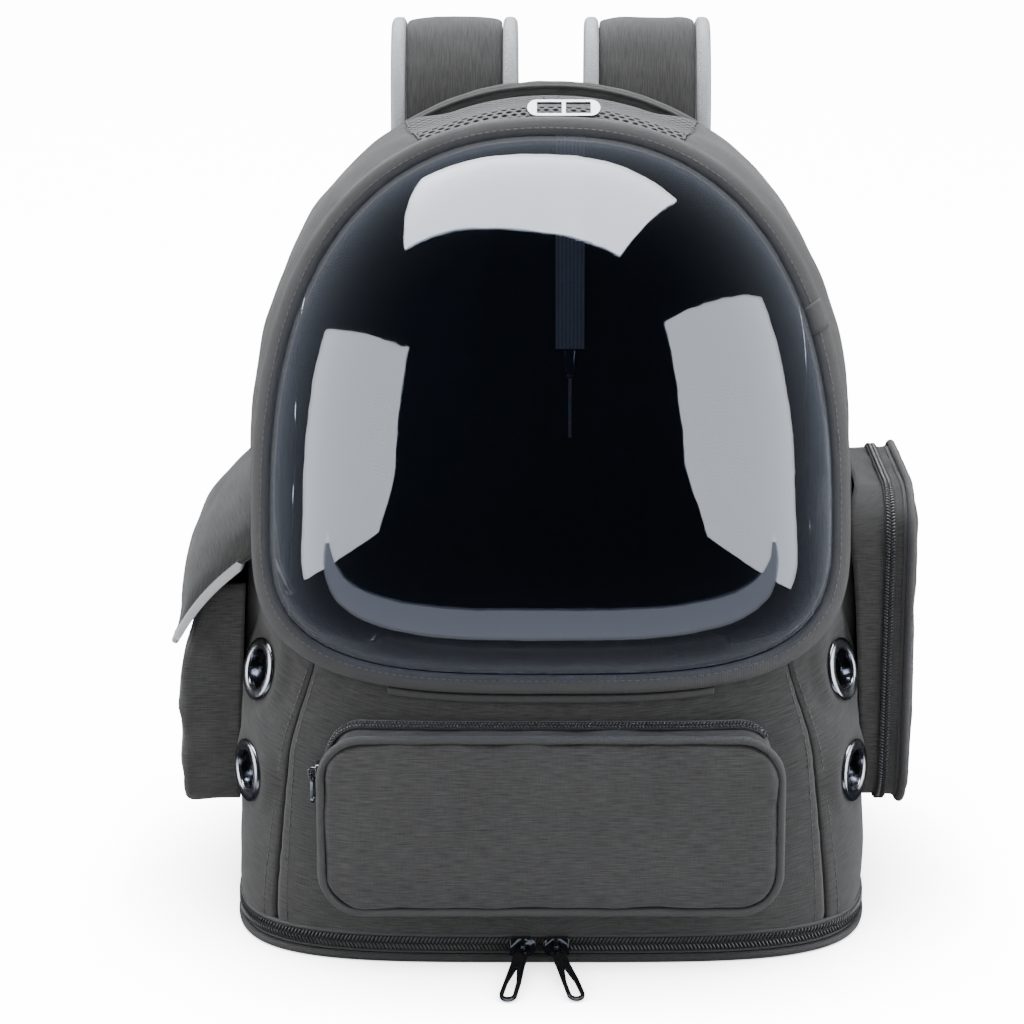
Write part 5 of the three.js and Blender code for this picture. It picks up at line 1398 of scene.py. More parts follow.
class Pocket:
    """One cloth pocket: gusset from the body, puffed face, and what is sewn along its edge."""

    def __init__(self, finish: Finishes, name: str, size: PocketSize, place: Callable, toward: Array,
                 seed: int, mouth: float | None = None) -> None:
        """Keeps the pocket's size and the function that places it on the body.

        Args:
            finish: Materials.
            name: CAD node of the cloth.
            size: Outline and reach.
            place: Function of u, v and reach that gives points.
            toward: Way out of the body.
            seed: Seed of the cloth's relief.
            mouth: Height of the open edge, or None for a closed pocket.
        """
        self.finish, self.name, self.size, self.place = finish, name, size, place
        self.toward, self.seed, self.mouth = toward, seed, mouth

    def run(self, offset: float, reach: float) -> Array:
        """Points along the pocket's edge."""
        flat = self.size.outline(-offset)
        return self.place(flat[:, 0], flat[:, 1], reach)

    def seat(self, inset: float) -> Array:
        """Points on the body where the gusset is sewn."""
        flat = self.size.outline(inset)
        rise = self.size.rear_rise * smooth(self.size.top - 16.0, self.size.top - 1.0, flat[:, 1])
        start = self.place(flat[:, 0], flat[:, 1] + rise, 40.0)
        return SHAPE.hit(start, np.broadcast_to(self.toward, start.shape)) + self.toward * 0.2

    def layer(self, shrink: float) -> tuple[Array, Array]:
        """One layer of the pocket, from the body to the face's middle, with its cloth laid out flat."""
        size = self.size
        top = size.reach - shrink
        def ring(inset: float, reach: float) -> Array:
            flat = size.outline(inset)
            return self.place(flat[:, 0], flat[:, 1], reach)
        seat, lip = self.seat(shrink), ring(shrink, top - 3.0)
        rows = [mix(seat, lip, share) for share in np.linspace(0.0, 1.0, 12)]
        depth = float(np.linalg.norm(lip - seat, axis=-1).max())
        cloth = [size.outline(-depth * share) for share in np.linspace(1.0, 0.0, 12)]
        rows += [ring(shrink + 0.35, top - 1.2), ring(shrink + 1.6, top - 0.2)]
        face = size.outline(shrink + 1.6)
        cloth += [size.outline(shrink + 0.35), face]
        spare = 0.5 * min(size.high - size.low, size.top - size.bottom)
        core = np.stack([np.clip(face[:, 0], size.low + spare, size.high - spare),
                         np.clip(face[:, 1], size.bottom + spare, size.top - spare)], axis=-1)
        for share in np.linspace(0.0, 1.0, 46)[1:]:
            flat = mix(face, core, share)
            swell = size.crown * (1.0 - (1.0 - min(1.0, share * 1.4)) ** 2.4)
            rows.append(self.place(flat[:, 0], flat[:, 1], top - 0.2 + swell))
            cloth.append(flat)
        return np.stack(rows, axis=1), np.stack(cloth, axis=1)

    def build(self) -> None:
        """Builds the cloth with its dents and puckers."""
        outer, cloth = self.layer(0.0)
        outer, cloth = outer[:-1], cloth[:-1]
        normals = grid_normals(outer, loop=True)
        if float(np.sum(normals[:, 30] * self.toward)) < 0.0:
            normals = -normals
        along = np.linspace(0.0, 1.0, outer.shape[1])[None, :]
        down = lengths(outer, 1)
        gusset = down[:, 11:12]
        face = smooth(0.0, 22.0, down - gusset - 5.0)
        lift = face * (0.9 * ripple(outer, 58.0, self.seed) + 0.3 * ripple(outer, 21.0, self.seed + 1))
        lift += 0.45 * np.exp(-np.abs(down - gusset - 7.0) / 7.0) * ripple(outer, 11.0, self.seed + 2, 5)
        lift += 0.7 * smooth(0.02, 0.12, along) * (1.0 - face) * ripple(outer, 26.0, self.seed + 3, 6)
        lift -= 0.5 * np.exp(-((down - gusset - 2.4) / 1.0) ** 2)
        outer = outer + lift[..., None] * normals
        inner = outer - normals * self.size.thick
        if self.mouth is not None:
            stay = self.stay(outer)
            outer, inner, cloth = self.cut(outer[stay]), self.cut(inner[stay]), cloth[stay]
        sheet = wall(outer, inner, flat=cloth, loop=self.mouth is None)
        Shell.face_out(sheet, outer, self.normals_after(outer))
        piece = own(sheet.make(f"{self.name}_cloth", self.finish.cloth, self.finish.lining), "body_cloth", CARRIER,
                    self.name)

    def normals_after(self, grid: Array) -> Array:
        """Normals turned so that the face points out of the body."""
        normals = grid_normals(grid)
        middle = grid.shape[1] * 2 // 3
        return normals if float(np.sum(normals[:, middle] * self.toward)) > 0.0 else -normals

    def stay(self, grid: Array) -> slice:
        """Stations along the edge whose gusset lies below the mouth."""
        keep = (grid[:, :12, 2] < self.mouth).all(axis=1)
        first, last = np.nonzero(keep)[0][[0, -1]]
        return slice(first, last + 1)

    def cut(self, grid: Array) -> Array:
        """Grid cut off level at the mouth, by pressing what stands above it down onto the mouth's edge."""
        part = grid.copy()
        part[[0, -1], :, 2] = self.mouth
        part[..., 2] = np.minimum(part[..., 2], self.mouth)
        return part

    def piping_loop(self, node: str) -> None:
        """Piping round the face."""
        size = self.size
        path = self.run(size.piping + BODY.gap, size.reach - 3.0)[:-1]
        path = resample(path, 420, loop=True)
        across, up = path_frames(path, self.toward, size.piping, size.piping, True)
        sheet = Sheet()
        swell = 1.0 + 0.04 * ripple(path, 8.0, self.seed + 7)[:, None]
        tube(sheet, path, across * swell, up * swell, sides=14, loop=True)
        flange = self.run(0.5, size.reach - 5.6)[:-1]
        flange = resample(flange, 300, loop=True)
        across, up = path_frames(flange, self.toward, 1.4, 0.7, True)
        tube(sheet, flange, across, up, sides=8, loop=True)
        own(sheet.make(f"{node}_cord", self.finish.trim), "trim", CARRIER, node)

    def zip_run(self, node: str, path: Array, lay: Array) -> None:
        """Zip along part of the gusset, with its coil. Its tape runs forward the way of lay."""
        lay = unit(resample_like(path, np.broadcast_to(lay, path.shape), 260, False))
        path = resample(path, 260)
        side = unit(np.cross(np.gradient(path, axis=0), lay))
        middle = self.place(np.array([(self.size.low + self.size.high) / 2.0]),
                            np.array([(self.size.bottom + self.size.top) / 2.0]), self.size.reach)
        if float(np.sum(side * (path - middle))) < 0.0:
            side = -side
        sheet = Sheet()
        tube(sheet, path, side * 0.8, lay * self.size.zip_half, sides=12, power=4.0)
        coil_zip(sheet, path + side * 0.7, side, self.size.zip_half * 1.7, pitch=1.7, tooth=2.6, slot=1)
        own(sheet.make(f"{node}_coil", self.finish.tape, self.finish.coil), "zip_coil", CARRIER, node)


FRONT = PocketSize(low=-115.0, high=115.0, bottom=37.0, top=124.0, reach=142.0, corner=19.0, crown=3.0,
                   rear_rise=6.5)
LEFT = PocketSize(low=-58.0, high=56.0, bottom=61.0, top=220.0, reach=197.0, corner=16.0, crown=3.0)
RIGHT = PocketSize(low=-62.0, high=62.0, bottom=62.0, top=235.0, reach=191.0, corner=26.0, crown=4.0)
LEFT_MOUTH_Z = 186.0
LEFT_MOUTH_DRAW = 13.0
LEFT_DRAW_LENGTH = 60.0


class Pockets:
    """The front pocket and the two side pockets."""

    front_zip_share: float = 0.3
    front_zip_low: float = 101.0
    right_zip_back: float = 14.0

    def __init__(self, finish: Finishes) -> None:
        """Sets the pockets up."""
        self.finish = finish
        self.front = Pocket(finish, "front_pocket", FRONT, self.on_front, np.array([0.0, -1.0, 0.0]), 51)
        self.left = Pocket(finish, "left_pocket", LEFT, self.on_left, np.array([-1.0, 0.0, 0.0]), 61, LEFT_MOUTH_Z)
        self.right = Pocket(finish, "right_pocket", RIGHT, self.on_right, np.array([1.0, 0.0, 0.0]), 71)

    @staticmethod
    def on_front(u: Array, v: Array, reach: float) -> Array:
        """Front pocket's place."""
        return np.stack([u, SHAPE.skirt_lean * v - reach, v], axis=-1)

    @staticmethod
    def on_right(u: Array, v: Array, reach: float) -> Array:
        """Right pocket's place."""
        return np.stack([np.full_like(u, reach), u, v], axis=-1)

    @staticmethod
    def on_left(u: Array, v: Array, reach: float) -> Array:
        """Left pocket's place, drawn in towards its mouth."""
        draw = LEFT_MOUTH_DRAW * smooth(LEFT_MOUTH_Z - LEFT_DRAW_LENGTH, LEFT_MOUTH_Z, v)
        return np.stack([draw - reach, u, v], axis=-1)

    def build(self) -> None:
        """Builds the pockets, their zips and the small slider and pull."""
        for pocket in (self.front, self.left, self.right):
            pocket.build()
        self.front.piping_loop("front_pocket_piping")
        self.right.piping_loop("right_pocket_piping")
        rear, lip = self.front.seat(-1.1), self.front.run(1.1, FRONT.reach - 3.0)
        path = mix(rear, lip, self.front_zip_share)
        stay = (path[:, 2] > self.front_zip_low + 1.0) & (path[:, 0] < FRONT.high - 5.0)
        first = int(np.argmax(~stay))
        order = np.concatenate([np.nonzero(stay[first:])[0] + first, np.nonzero(stay[:first])[0]])
        self.front.zip_run("front_pocket_zip", path[order], unit(lip - rear)[order])
        path = self.right.run(1.1, RIGHT.reach - self.right_zip_back)
        stay = (path[:, 1] < 0.0) | (path[:, 2] > (RIGHT.top + RIGHT.bottom) / 2.0)
        first = int(np.argmax(~stay))
        order = np.concatenate([np.nonzero(stay[first:])[0] + first, np.nonzero(stay[:first])[0]])
        self.right.zip_run("right_pocket_zip", path[order], self.right.toward)
        slider = refined("front_pocket_slider", "front_pocket_slider_body", self.finish.gunmetal, 0.35)
        own(slider, "gunmetal", CARRIER, "front_pocket_slider")
        pull = refined("front_pocket_pull", "front_pocket_pull_body", self.finish.gunmetal, 0.35)
        own(pull, "gunmetal", "front_pocket_pull", "front_pocket_pull")
        self.mouth_hem()

    def mouth_hem(self) -> None:
        """Bound edge of the open pocket's mouth."""
        u = np.linspace(LEFT.low + 3.0, LEFT.high - 3.0, 90)
        point = self.on_left(u, np.full_like(u, LEFT_MOUTH_Z), LEFT.reach + LEFT.crown - 1.6)
        edge = np.minimum(u - LEFT.low, LEFT.high - u)
        point[:, 0] += LEFT.crown * (1.0 - smooth(2.0, 40.0, edge)) + 0.8 * ripple(point, 40.0, 66)
        sheet = Sheet()
        tube(sheet, point, np.tile([1.9, 0.0, 0.0], (len(u), 1)), np.tile([0.0, 0.0, 2.4], (len(u), 1)), sides=12,
             power=2.6)
        own(sheet.make("left_pocket_hem", self.finish.trim), "trim", CARRIER)


@dataclass(frozen=True)
class FlapSize:
    """Sizes of the flap over the left pocket."""

    low: float = -67.0
    high: float = 65.0
    end_z: float = 208.0
    top_z: float = 246.0
    edge_z: float = 160.0
    reach: float = 195.0
    bulge: float = 12.0
    thick: float = 2.5
    tuck: float = 4.0
    binding: float = 2.0


class Flap:
    """Curved flap over the left pocket's mouth, bound in pale tape."""

    size = FlapSize()

    def __init__(self, finish: Finishes) -> None:
        """Keeps the materials."""
        self.finish = finish

    def surface(self, u: Array, v: Array, lift: float) -> Array:
        """Point of the flap: u from front to back, v from the seam to the free edge."""
        size = self.size
        u, v = np.broadcast_arrays(u, v)
        y = mix(size.low, size.high, u)
        hood = np.maximum(0.0, np.sin(np.pi * u)) ** 0.35
        top = mix(size.end_z, size.top_z, hood)
        zero = np.zeros_like(y)
        start = SHAPE.hit(np.stack([zero, y, top], axis=-1), np.broadcast_to(np.array([1.0, 0.0, 0.0]), y.shape + (3,)))
        end = np.stack([zero + size.reach, y, zero + size.edge_z], axis=-1)
        out = unit(np.array([size.top_z - size.edge_z, 0.0, size.reach - BODY.half_width]))
        bulge = size.bulge * np.sin(np.pi * v) * mix(0.3, 1.0, hood) + lift
        point = mix(start, end, v[..., None]) + out * bulge[..., None]
        point[..., 0] = -(point[..., 0] - size.tuck * (1.0 - v) ** 2)
        return point

    def build(self) -> None:
        """Builds the flap and its binding."""
        turn = np.linspace(0.0, np.pi, 96)
        u = ((1.0 - np.cos(turn)) / 2.0)[:, None]
        v = np.linspace(0.0, 1.0, 54)[None, :]
        outer = self.surface(u, v, self.size.thick)
        inner = self.surface(u, v, 0.0)
        normals = grid_normals(outer)
        if float(np.sum(normals[:, 30, 0])) > 0.0:
            normals = -normals
        bend = 0.8 * ripple(outer, 46.0, 81) + 0.3 * ripple(outer, 17.0, 82)
        bend = bend * smooth(0.0, 0.2, v) * smooth(0.0, 0.1, u * (1 - u) * 4)
        outer, inner = outer + bend[..., None] * normals, inner + bend[..., None] * normals
        sheet = wall(outer, inner)
        Shell.face_out(sheet, outer, normals)
        piece = own(sheet.make("left_flap_cloth", self.finish.cloth, self.finish.lining), "body_cloth", CARRIER,
                    "left_flap")
        self.binding(outer, inner)

    def binding(self, outer: Array, inner: Array) -> None:
        """Tape folded round the flap's free edges."""
        middle = (outer + inner) / 2.0
        rows, columns = middle.shape[:2]
        first = int(columns * 0.2)
        path = np.concatenate([middle[0, first:], middle[1:-1, -1], middle[-1, first:][::-1]])
        back = np.concatenate([middle[3, first:], middle[1:-1, -4], middle[-4, first:][::-1]])
        face = (outer - inner)
        thick = np.concatenate([face[0, first:], face[1:-1, -1], face[-1, first:][::-1]])
        path, back, thick = (resample_like(path, values, 260, False) for values in (path, back, thick))
        up = unit(thick)
        out = path - back
        out = unit(out - up * np.sum(out * up, axis=-1, keepdims=True))
        sheet = Sheet()
        seat = path + out * 0.9
        tube(sheet, seat, out * 3.4, up * 2.1, sides=14, power=2.8)
        stitches(sheet, seat - out * 2.0 + up * 2.02, up, 3.4, 2.5, 0.26, slot=1)
        own(sheet.make("left_flap_tape", self.finish.pale, self.finish.thread), "pale_trim", CARRIER,
            "left_flap_binding")


# Straps


@dataclass(frozen=True)
class StrapSize:
    """Sizes of the shoulder straps and their webbing."""

    width: float = 71.0
    thick: float = 11.0
    middle_x: float = 54.0
    binding: float = 8.5
    spare: float = 1.0
    webbing_width: float = 25.0
    webbing_thick: float = 2.2
    foot_x: float = 128.0
    foot_z: float = 26.0
    route: tuple = ((0.0, 345.0), (0.0, 375.0), (2.0, 405.0), (12.0, 437.0), (27.0, 454.0), (48.0, 452.0),
                    (66.0, 428.0), (74.0, 385.0), (72.0, 320.0), (58.0, 250.0), (40.0, 190.0))


def spline(points: Array, count: int) -> Array:
    """Smooth curve through points, with steps sized by the root of their spacing."""
    ends = np.concatenate([[2.0 * points[0] - points[1]], points, [2.0 * points[-1] - points[-2]]])
    want = np.linspace(0.0, len(points) - 1.0, count)
    k = np.clip(want.astype(int), 0, len(points) - 2)
    p0, p1, p2, p3 = (ends[k + shift] for shift in range(4))
    d0, d1, d2 = (np.maximum(np.linalg.norm(b - a, axis=-1, keepdims=True) ** 0.5, 1e-4)
                  for a, b in ((p0, p1), (p1, p2), (p2, p3)))
    m1 = ((p1 - p0) / d0 - (p2 - p0) / (d0 + d1) + (p2 - p1) / d1) * d1
    m2 = ((p2 - p1) / d1 - (p3 - p1) / (d1 + d2) + (p3 - p2) / d2) * d1
    t = (want - k)[:, None]
    return (2 * t ** 3 - 3 * t ** 2 + 1) * p1 + (t ** 3 - 2 * t ** 2 + t) * m1 + (3 * t ** 2 - 2 * t ** 3) * p2 + (
        t ** 3 - t ** 2) * m2


class Straps:
    """Padded shoulder straps with pale bound edges, and the webbing below each."""

    size = StrapSize()

    def __init__(self, finish: Finishes) -> None:
        """Works out the straps' curve."""
        self.finish = finish
        size = self.size
        route = np.array([[0.0, BODY.half_depth - BODY.back_lean * z - size.spare + 2.0 * BODY.gap
                           + size.thick / 2.0 + back, z] for back, z in size.route])
        self.curve = resample(spline(route, 900), 260)

    def frames(self) -> Array:
        """Way out of the strap's face along its curve."""
        along = unit(np.gradient(self.curve, axis=0))
        return unit(np.cross(np.array([1.0, 0.0, 0.0]), along))

    def build(self) -> None:
        """Builds both straps."""
        for side in Side:
            self.strap(side)
            self.webbing(side)

    def strap(self, side: Side) -> None:
        """One padded strap and its two bindings."""
        size = self.size
        name = side.name.lower()
        middle = self.curve + np.array([side.value * size.middle_x, 0.0, 0.0])
        up = self.frames() * size.thick / 2.0
        pad = (size.width - 2.0 * size.binding - 2.0 * BODY.gap) / 2.0
        shares = section(72, 5.0)
        across = np.tile([1.0, 0.0, 0.0], (len(middle), 1))
        soft = 1.0 - 0.16 * shares[:, 0] ** 4
        rings = (middle[:, None] + shares[None, :, :1] * across[:, None] * pad
                 + (shares[:, 1] * soft)[None, :, None] * up[:, None])
        relief = 0.35 * ripple(rings, 34.0, 91 + side.value) + 0.15 * ripple(rings, 12.0, 95 + side.value)
        rings = rings + (relief * np.sign(shares[:, 1]) * np.abs(shares[:, 1]) ** 0.5)[..., None] * unit(up)[:, None]
        sheet = Sheet()
        caps = [rings[k].mean(0, keepdims=True).repeat(len(shares), 0)[None] for k in (0, -1)]
        closed = np.concatenate([caps[0], rings, caps[1]])
        along = np.gradient(middle, axis=0)
        turn = float(np.sum(np.cross(across, up) * along))
        sheet.add_grid(closed, loop_columns=True, flip=turn > 0.0)
        piece = own(sheet.make(f"strap_{name}_pad", self.finish.pad), "pad_cloth", CARRIER, f"strap_{name}")
        offset = (size.width - size.binding) / 2.0
        for edge, way in (("inner", -side.value), ("outer", side.value)):
            path = middle + np.array([way * offset, 0.0, 0.0])
            tape = Sheet()
            half = np.tile([size.binding / 2.0, 0.0, 0.0], (len(path), 1))
            swell = 1.0 + 0.03 * ripple(path, 24.0, 101)[:, None]
            tube(tape, path, half, up * swell, sides=22, power=2.7)
            for face in (1.0, -1.0):
                row = path + np.array([-way * size.binding * 0.28, 0.0, 0.0]) + up * face * 0.94
                stitches(tape, row, unit(up) * face, 3.6, 2.7, 0.28, slot=1)
            own(tape.make(f"strap_{name}_{edge}_tape", self.finish.pale, self.finish.pale_thread), "pale_trim",
                CARRIER, f"strap_binding_{name}_{edge}")

    def webbing(self, side: Side) -> None:
        """Webbing from the strap's lower end to the foot of the back."""
        size = self.size
        along = unit(self.curve[-1] - self.curve[-3])
        start = self.curve[-1] + along * (2.0 * BODY.gap + size.webbing_thick / 2.0)
        start[0] = side.value * size.middle_x
        foot = np.array([side.value * size.foot_x, BODY.half_depth - BODY.back_lean * size.foot_z - size.spare
                         + 2.0 * BODY.gap + size.webbing_thick / 2.0, size.foot_z])
        route = np.stack([start, mix(start, foot, np.array([0.3, 0.5, 0.33])),
                          mix(start, foot, np.array([0.7, 0.85, 0.7])), foot])
        path = resample(spline(route, 400), 180)
        way = unit(np.gradient(path, axis=0))
        up = unit(np.cross(np.array([1.0, 0.0, 0.0]), way)) * size.webbing_thick / 2.0
        across = np.tile([size.webbing_width / 2.0, 0.0, 0.0], (len(path), 1))
        sheet = Sheet()
        tube(sheet, path, across, up, sides=20, power=5.0)
        own(sheet.make(f"strap_webbing_{side.name.lower()}_band", self.finish.webbing), "webbing", CARRIER,
            f"strap_webbing_{side.name.lower()}")


# Leash


@dataclass(frozen=True)
class LeashSize:
    """Sizes of the leash that hangs inside."""

    x: float = 10.5
    y: float = 52.0
    width: float = 16.0
    thick: float = 1.6
    top: float = 423.2
    bottom: float = 288.0
    cord: float = 0.9
    drop: float = 34.0
    cord_top: float = 271.4


class Leash:
    """Ribbed webbing, a clip and the thin cord that hangs from it."""

    size = LeashSize()

    def __init__(self, finish: Finishes) -> None:
        """Keeps the materials."""
        self.finish = finish

    def build(self) -> None:
        """Builds the leash."""
        size = self.size
        z = np.linspace(size.bottom, size.top, 200)
        ribs = 1.0 + 0.12 * np.sin(z * 2.0 * np.pi / 3.2)[:, None]
        path = np.stack([np.full_like(z, size.x), np.full_like(z, size.y), z], axis=-1)
        sheet = Sheet()
        tube(sheet, path, np.tile([size.width / 2.0, 0.0, 0.0], (len(z), 1)),
             np.tile([0.0, size.thick / 2.0, 0.0], (len(z), 1)) * ribs, sides=20, power=5.0)
        own(sheet.make("leash_band", self.finish.webbing), "webbing", CARRIER, "leash_webbing")
        clip = refined("leash_clip", "leash_clip_body", self.finish.black, 0.6)
        own(clip, "black_metal", CARRIER, "leash_clip")

    def route(self) -> list[tuple[float, float, float]]:
        """Points of the thin cord in metres."""
        size = self.size
        return [(size.x * MM, size.y * MM, z * MM) for z in np.linspace(size.cord_top, size.cord_top - size.drop, 24)]

    def tail(self) -> bpy.types.Object:
        """The thin cord below the clip."""
        size = self.size
        path = np.array(self.route()) / MM
        z = path[:, 2]
        sheet = Sheet()
        tube(sheet, path, np.tile([size.cord, 0.0, 0.0], (len(z), 1)), np.tile([0.0, size.cord, 0.0], (len(z), 1)),
             sides=10)
        cord = sheet.make("leash_tail_cord", self.finish.webbing)
        own(cord, "webbing", CARRIER, "leash_tail")
        return cord


class TopSlide:
    """Plain metal slide on the mesh top."""

    def __init__(self, finish: Finishes) -> None:
        """Keeps the materials."""
        self.finish = finish

    def build(self) -> None:
        """Builds the slide from its CAD solid with rounded edges."""
        own(refined("top_slide", "top_slide_body", self.finish.gunmetal, 0.4), "gunmetal", CARRIER, "top_slide")


# Studio


@dataclass(frozen=True)
class Shot:
    """Camera that looks at the bag from the photograph's place."""

    place: tuple[float, float, float] = (0.0, -1489.0, 636.0)
    pitch: float = 16.0
    lens: float = 100.4
    sensor: float = 36.0
    shift: float = -0.038
    picture: float = 1024.0

    def ray(self, px: float, py: float) -> Vector:
        """Direction through a point of the picture."""
        focal = self.picture * self.lens / self.sensor
        x = (px - self.picture / 2.0 + self.shift * self.picture) / focal
        y = -(py - self.picture / 2.0) / focal
        turn = Matrix.Rotation(math.radians(90.0 - self.pitch), 3, "X")
        return (turn @ Vector((x, y, -1.0))).normalized()

    def build(self) -> None:
        """Makes the camera."""
        data = bpy.data.cameras.new("studio_camera")
        data.lens, data.sensor_width = self.lens, self.sensor
        data.shift_x = self.shift
        data.clip_end = 100.0
        camera = bpy.data.objects.new("studio_camera", data)
        camera.location = Vector(self.place) * MM
        camera.rotation_euler = (math.radians(90.0 - self.pitch), 0.0, 0.0)
        bpy.context.scene.collection.objects.link(camera)
        bpy.context.scene.camera = camera


@dataclass(frozen=True)
class Softbox:
    """Soft light that the bubble mirrors at a named place of the photograph, in its picture points."""

    name: str
    left: float
    right: float
    top: float
    bottom: float
    radiance: float
    distance: float = 1.7
    tint: tuple[float, float, float] = (0.93, 0.96, 1.0)


@dataclass(frozen=True)
class FillLight:
    """Large soft light that only the cloth takes."""

    name: str
    place: tuple[float, float, float]
    aim: tuple[float, float, float]
    size: tuple[float, float]
    power: float


class Studio:
    """White floor and sweep, soft lights, and the light shapes that the bubble mirrors."""

    shot = Shot()
    middle = 551.0
    floor_glow = 13.0
    table_row = 612.0
    table_height = 0.5
    table_half = 3000.0
    table_glow = (1.9, 2.05, 2.4)
    softboxes = (
        Softbox("softbox_top", 400.0, 650.0, 162.0, 247.0, 22.0),
        Softbox("softbox_left", 303.0, 392.0, 360.0, 560.0, 9.0),
        Softbox("softbox_right", 684.0, 796.0, 330.0, 565.0, 9.0),
    )
    fills = (
        FillLight("fill_top", (0.0, -0.1, 2.3), (0.0, 0.0, 0.3), (2.4, 1.8), 30.0),
        FillLight("fill_left", (-2.1, -0.6, 1.2), (0.0, 0.0, 0.2), (1.6, 1.8), 20.0),
        FillLight("fill_right", (2.1, -0.6, 1.2), (0.0, 0.0, 0.2), (1.6, 1.8), 20.0),
        FillLight("fill_front", (0.0, -2.6, 1.6), (0.0, 0.0, 0.2), (2.2, 1.6), 9.0),
        FillLight("fill_back", (0.0, 2.3, 1.6), (0.0, 0.0, 0.2), (2.2, 1.6), 14.0),
    )

    def lamp(self, name: str, centre: Vector, away: Vector, size: tuple[float, float], power: float) -> bpy.types.Light:
        """Rectangular area light at a place, facing against the way given."""
        light = bpy.data.lights.new(name, "AREA")
        light.shape = "RECTANGLE"
        light.size, light.size_y = size
        light.energy = power
        obj = bpy.data.objects.new(name, light)
        obj.location = centre
        obj.rotation_euler = away.to_track_quat("Z", "Y").to_euler()
        bpy.context.scene.collection.objects.link(obj)
        return obj

    def mirror(self, bubble: bpy.types.Object, px: float, py: float) -> tuple[Vector, Vector]:
        """Where a sight line meets the bubble and the way that it is mirrored."""
        start = Vector(self.shot.place) * MM
        way = self.shot.ray(px, py)
        hit, place, normal, _ = bubble.ray_cast(start, way)
        if not hit:
            raise RuntimeError(f"the sight line {px}, {py} misses the bubble")
        if normal.dot(way) > 0.0:
            normal = -normal
        return place, way.reflect(normal)

    def soft(self, bubble: bpy.types.Object, box: Softbox) -> None:
        """Places one softbox from the four sides of its mirror image."""
        mid_x, mid_y = (box.left + box.right) / 2.0, (box.top + box.bottom) / 2.0
        place, toward = self.mirror(bubble, mid_x, mid_y)
        centre = place + toward * box.distance
        corners = []
        for px, py in ((box.left, mid_y), (box.right, mid_y), (mid_x, box.top), (mid_x, box.bottom)):
            start, way = self.mirror(bubble, px, py)
            corners.append(start + way * ((centre - start).dot(toward) / way.dot(toward)))
        middle = sum(corners, Vector()) / len(corners)
        across, height = corners[1] - corners[0], corners[2] - corners[3]
        light = bpy.data.lights.new(box.name, "AREA")
        light.shape = "RECTANGLE"
        light.size, light.size_y = across.length, height.length
        light.energy = box.radiance * math.pi * across.length * height.length
        light.color = box.tint
        x_axis = across.normalized()
        z_axis = toward.normalized()
        y_axis = z_axis.cross(x_axis).normalized()
        x_axis = y_axis.cross(z_axis)
        obj = bpy.data.objects.new(box.name, light)
        turn = Matrix((x_axis, y_axis, z_axis)).transposed().to_4x4()
        obj.matrix_world = Matrix.Translation(middle) @ turn
        obj.visible_diffuse = False
        obj.visible_transmission = False
        bpy.context.scene.collection.objects.link(obj)

    def floor(self) -> None:
        """Wide white floor that rises into a sweep behind. The camera sees it glow, and ambient occlusion dims the glow
        near the bag into a painted contact shadow.
        """
        half, run = 9000.0, 40
        turn = np.linspace(0.0, np.pi / 2.0, run)
        y = np.concatenate([[-9000.0, 4500.0], 4500.0 + 2500.0 * np.sin(turn), [7000.0]])
        z = np.concatenate([[0.0, 0.0], 2500.0 * (1.0 - np.cos(turn)), [9000.0]])
        rows = np.stack([np.stack([np.full_like(y, x), y, z], axis=-1) for x in (-half, half)])
        sheet = Sheet()
        sheet.add_grid(rows, flip=False)
        nodes = Nodes("studio_floor")
        diffuse = nodes.add("ShaderNodeBsdfDiffuse", {"Color": (0.86, 0.86, 0.87, 1.0)})
        # Painted contact shadow: the camera's glow is dimmed where ambient occlusion finds the bag close by.
        open_sky = nodes.add("ShaderNodeAmbientOcclusion", {"Distance": 0.09}).outputs["AO"]
        shade = nodes.math("MULTIPLY_ADD", nodes.math("POWER", open_sky, 1.6), self.floor_glow, 1.0)
        glow = nodes.add("ShaderNodeEmission", {"Color": (1.0, 1.0, 1.0, 1.0), "Strength": shade})
        both = nodes.add("ShaderNodeAddShader", {0: diffuse.outputs[0], 1: glow.outputs[0]})
        seen = nodes.add("ShaderNodeLightPath").outputs["Is Camera Ray"]
        shown = nodes.add("ShaderNodeMixShader", {0: seen, 1: diffuse.outputs[0], 2: both.outputs[0]})
        floor = sheet.make("studio_floor", nodes.finish(shown.outputs[0]))
        floor.visible_glossy = False

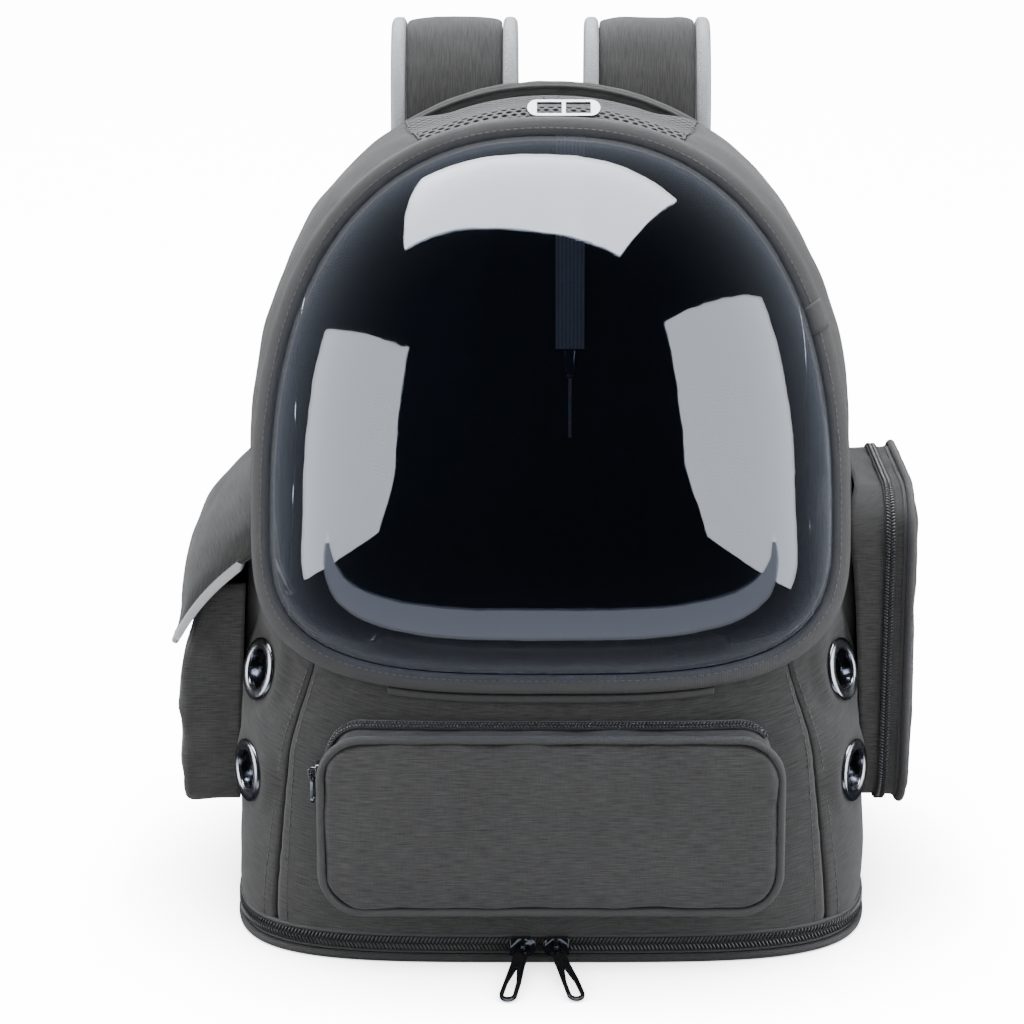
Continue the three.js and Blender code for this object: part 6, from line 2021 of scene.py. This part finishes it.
    def table(self, bubble: bpy.types.Object) -> None:
        """Pale table top that only mirrors see, from the bag's foot to the row mirrored at table_row."""
        place, way = self.mirror(bubble, self.middle, self.table_row)
        level = self.table_height
        far = (place + way * ((level * MM - place.z) / way.z)).y / MM
        near, half = CAD_BOX[0][1] / MM, self.table_half
        rows = np.array([[[-half, y, level], [half, y, level]] for y in (far, near)])
        sheet = Sheet()
        sheet.add_grid(rows)
        nodes = Nodes("table_card")
        shine = nodes.add("ShaderNodeEmission", {"Color": (*self.table_glow, 1.0), "Strength": 1.0})
        card = sheet.make("table_card", nodes.finish(shine.outputs[0]))
        card.visible_camera = card.visible_diffuse = card.visible_shadow = card.visible_transmission = False

    def world(self) -> None:
        """Pale surroundings for the cloth, dark ones for what mirrors."""
        world = bpy.data.worlds.new("studio")
        bpy.context.scene.world = world
        world.use_nodes = True
        tree = world.node_tree
        tree.nodes.clear()
        output = tree.nodes.new("ShaderNodeOutputWorld")
        pale = tree.nodes.new("ShaderNodeBackground")
        pale.inputs[0].default_value = (1.0, 1.0, 1.0, 1.0)
        pale.inputs[1].default_value = 0.42
        dark = tree.nodes.new("ShaderNodeBackground")
        dark.inputs[0].default_value = (0.05, 0.065, 0.1, 1.0)
        dark.inputs[1].default_value = 0.6
        path = tree.nodes.new("ShaderNodeLightPath")
        both = tree.nodes.new("ShaderNodeMixShader")
        tree.links.new(path.outputs["Is Glossy Ray"], both.inputs[0])
        tree.links.new(pale.outputs[0], both.inputs[1])
        tree.links.new(dark.outputs[0], both.inputs[2])
        tree.links.new(both.outputs[0], output.inputs[0])

    def build(self, bubble: bpy.types.Object) -> None:
        """Builds the lights, the floor and the surroundings."""
        self.floor()
        self.world()
        for box in self.softboxes:
            self.soft(bubble, box)
        self.table(bubble)
        for fill in self.fills:
            centre = Vector(fill.place)
            obj = self.lamp(fill.name, centre, centre - Vector(fill.aim), fill.size, fill.power)
            obj.visible_glossy = False


def main() -> None:
    """Builds the dressed bag and its studio."""
    logging.basicConfig(level=logging.INFO, format="%(message)s")
    Studio.shot.build()
    finish = Finishes()
    leash = Leash(finish)
    cord = leash.tail()
    leash.route()
    leash.build()
    for part in (Shell(finish), MeshTop(finish), Window(finish), Base(finish), Back(finish), Pockets(finish),
                 Flap(finish), Straps(finish), TopSlide(finish)):
        part.build()
        LOG.info("built %s", type(part).__name__)
    Studio().build(bpy.data.objects["window_bubble"])


if __name__ == "__main__":
    main()
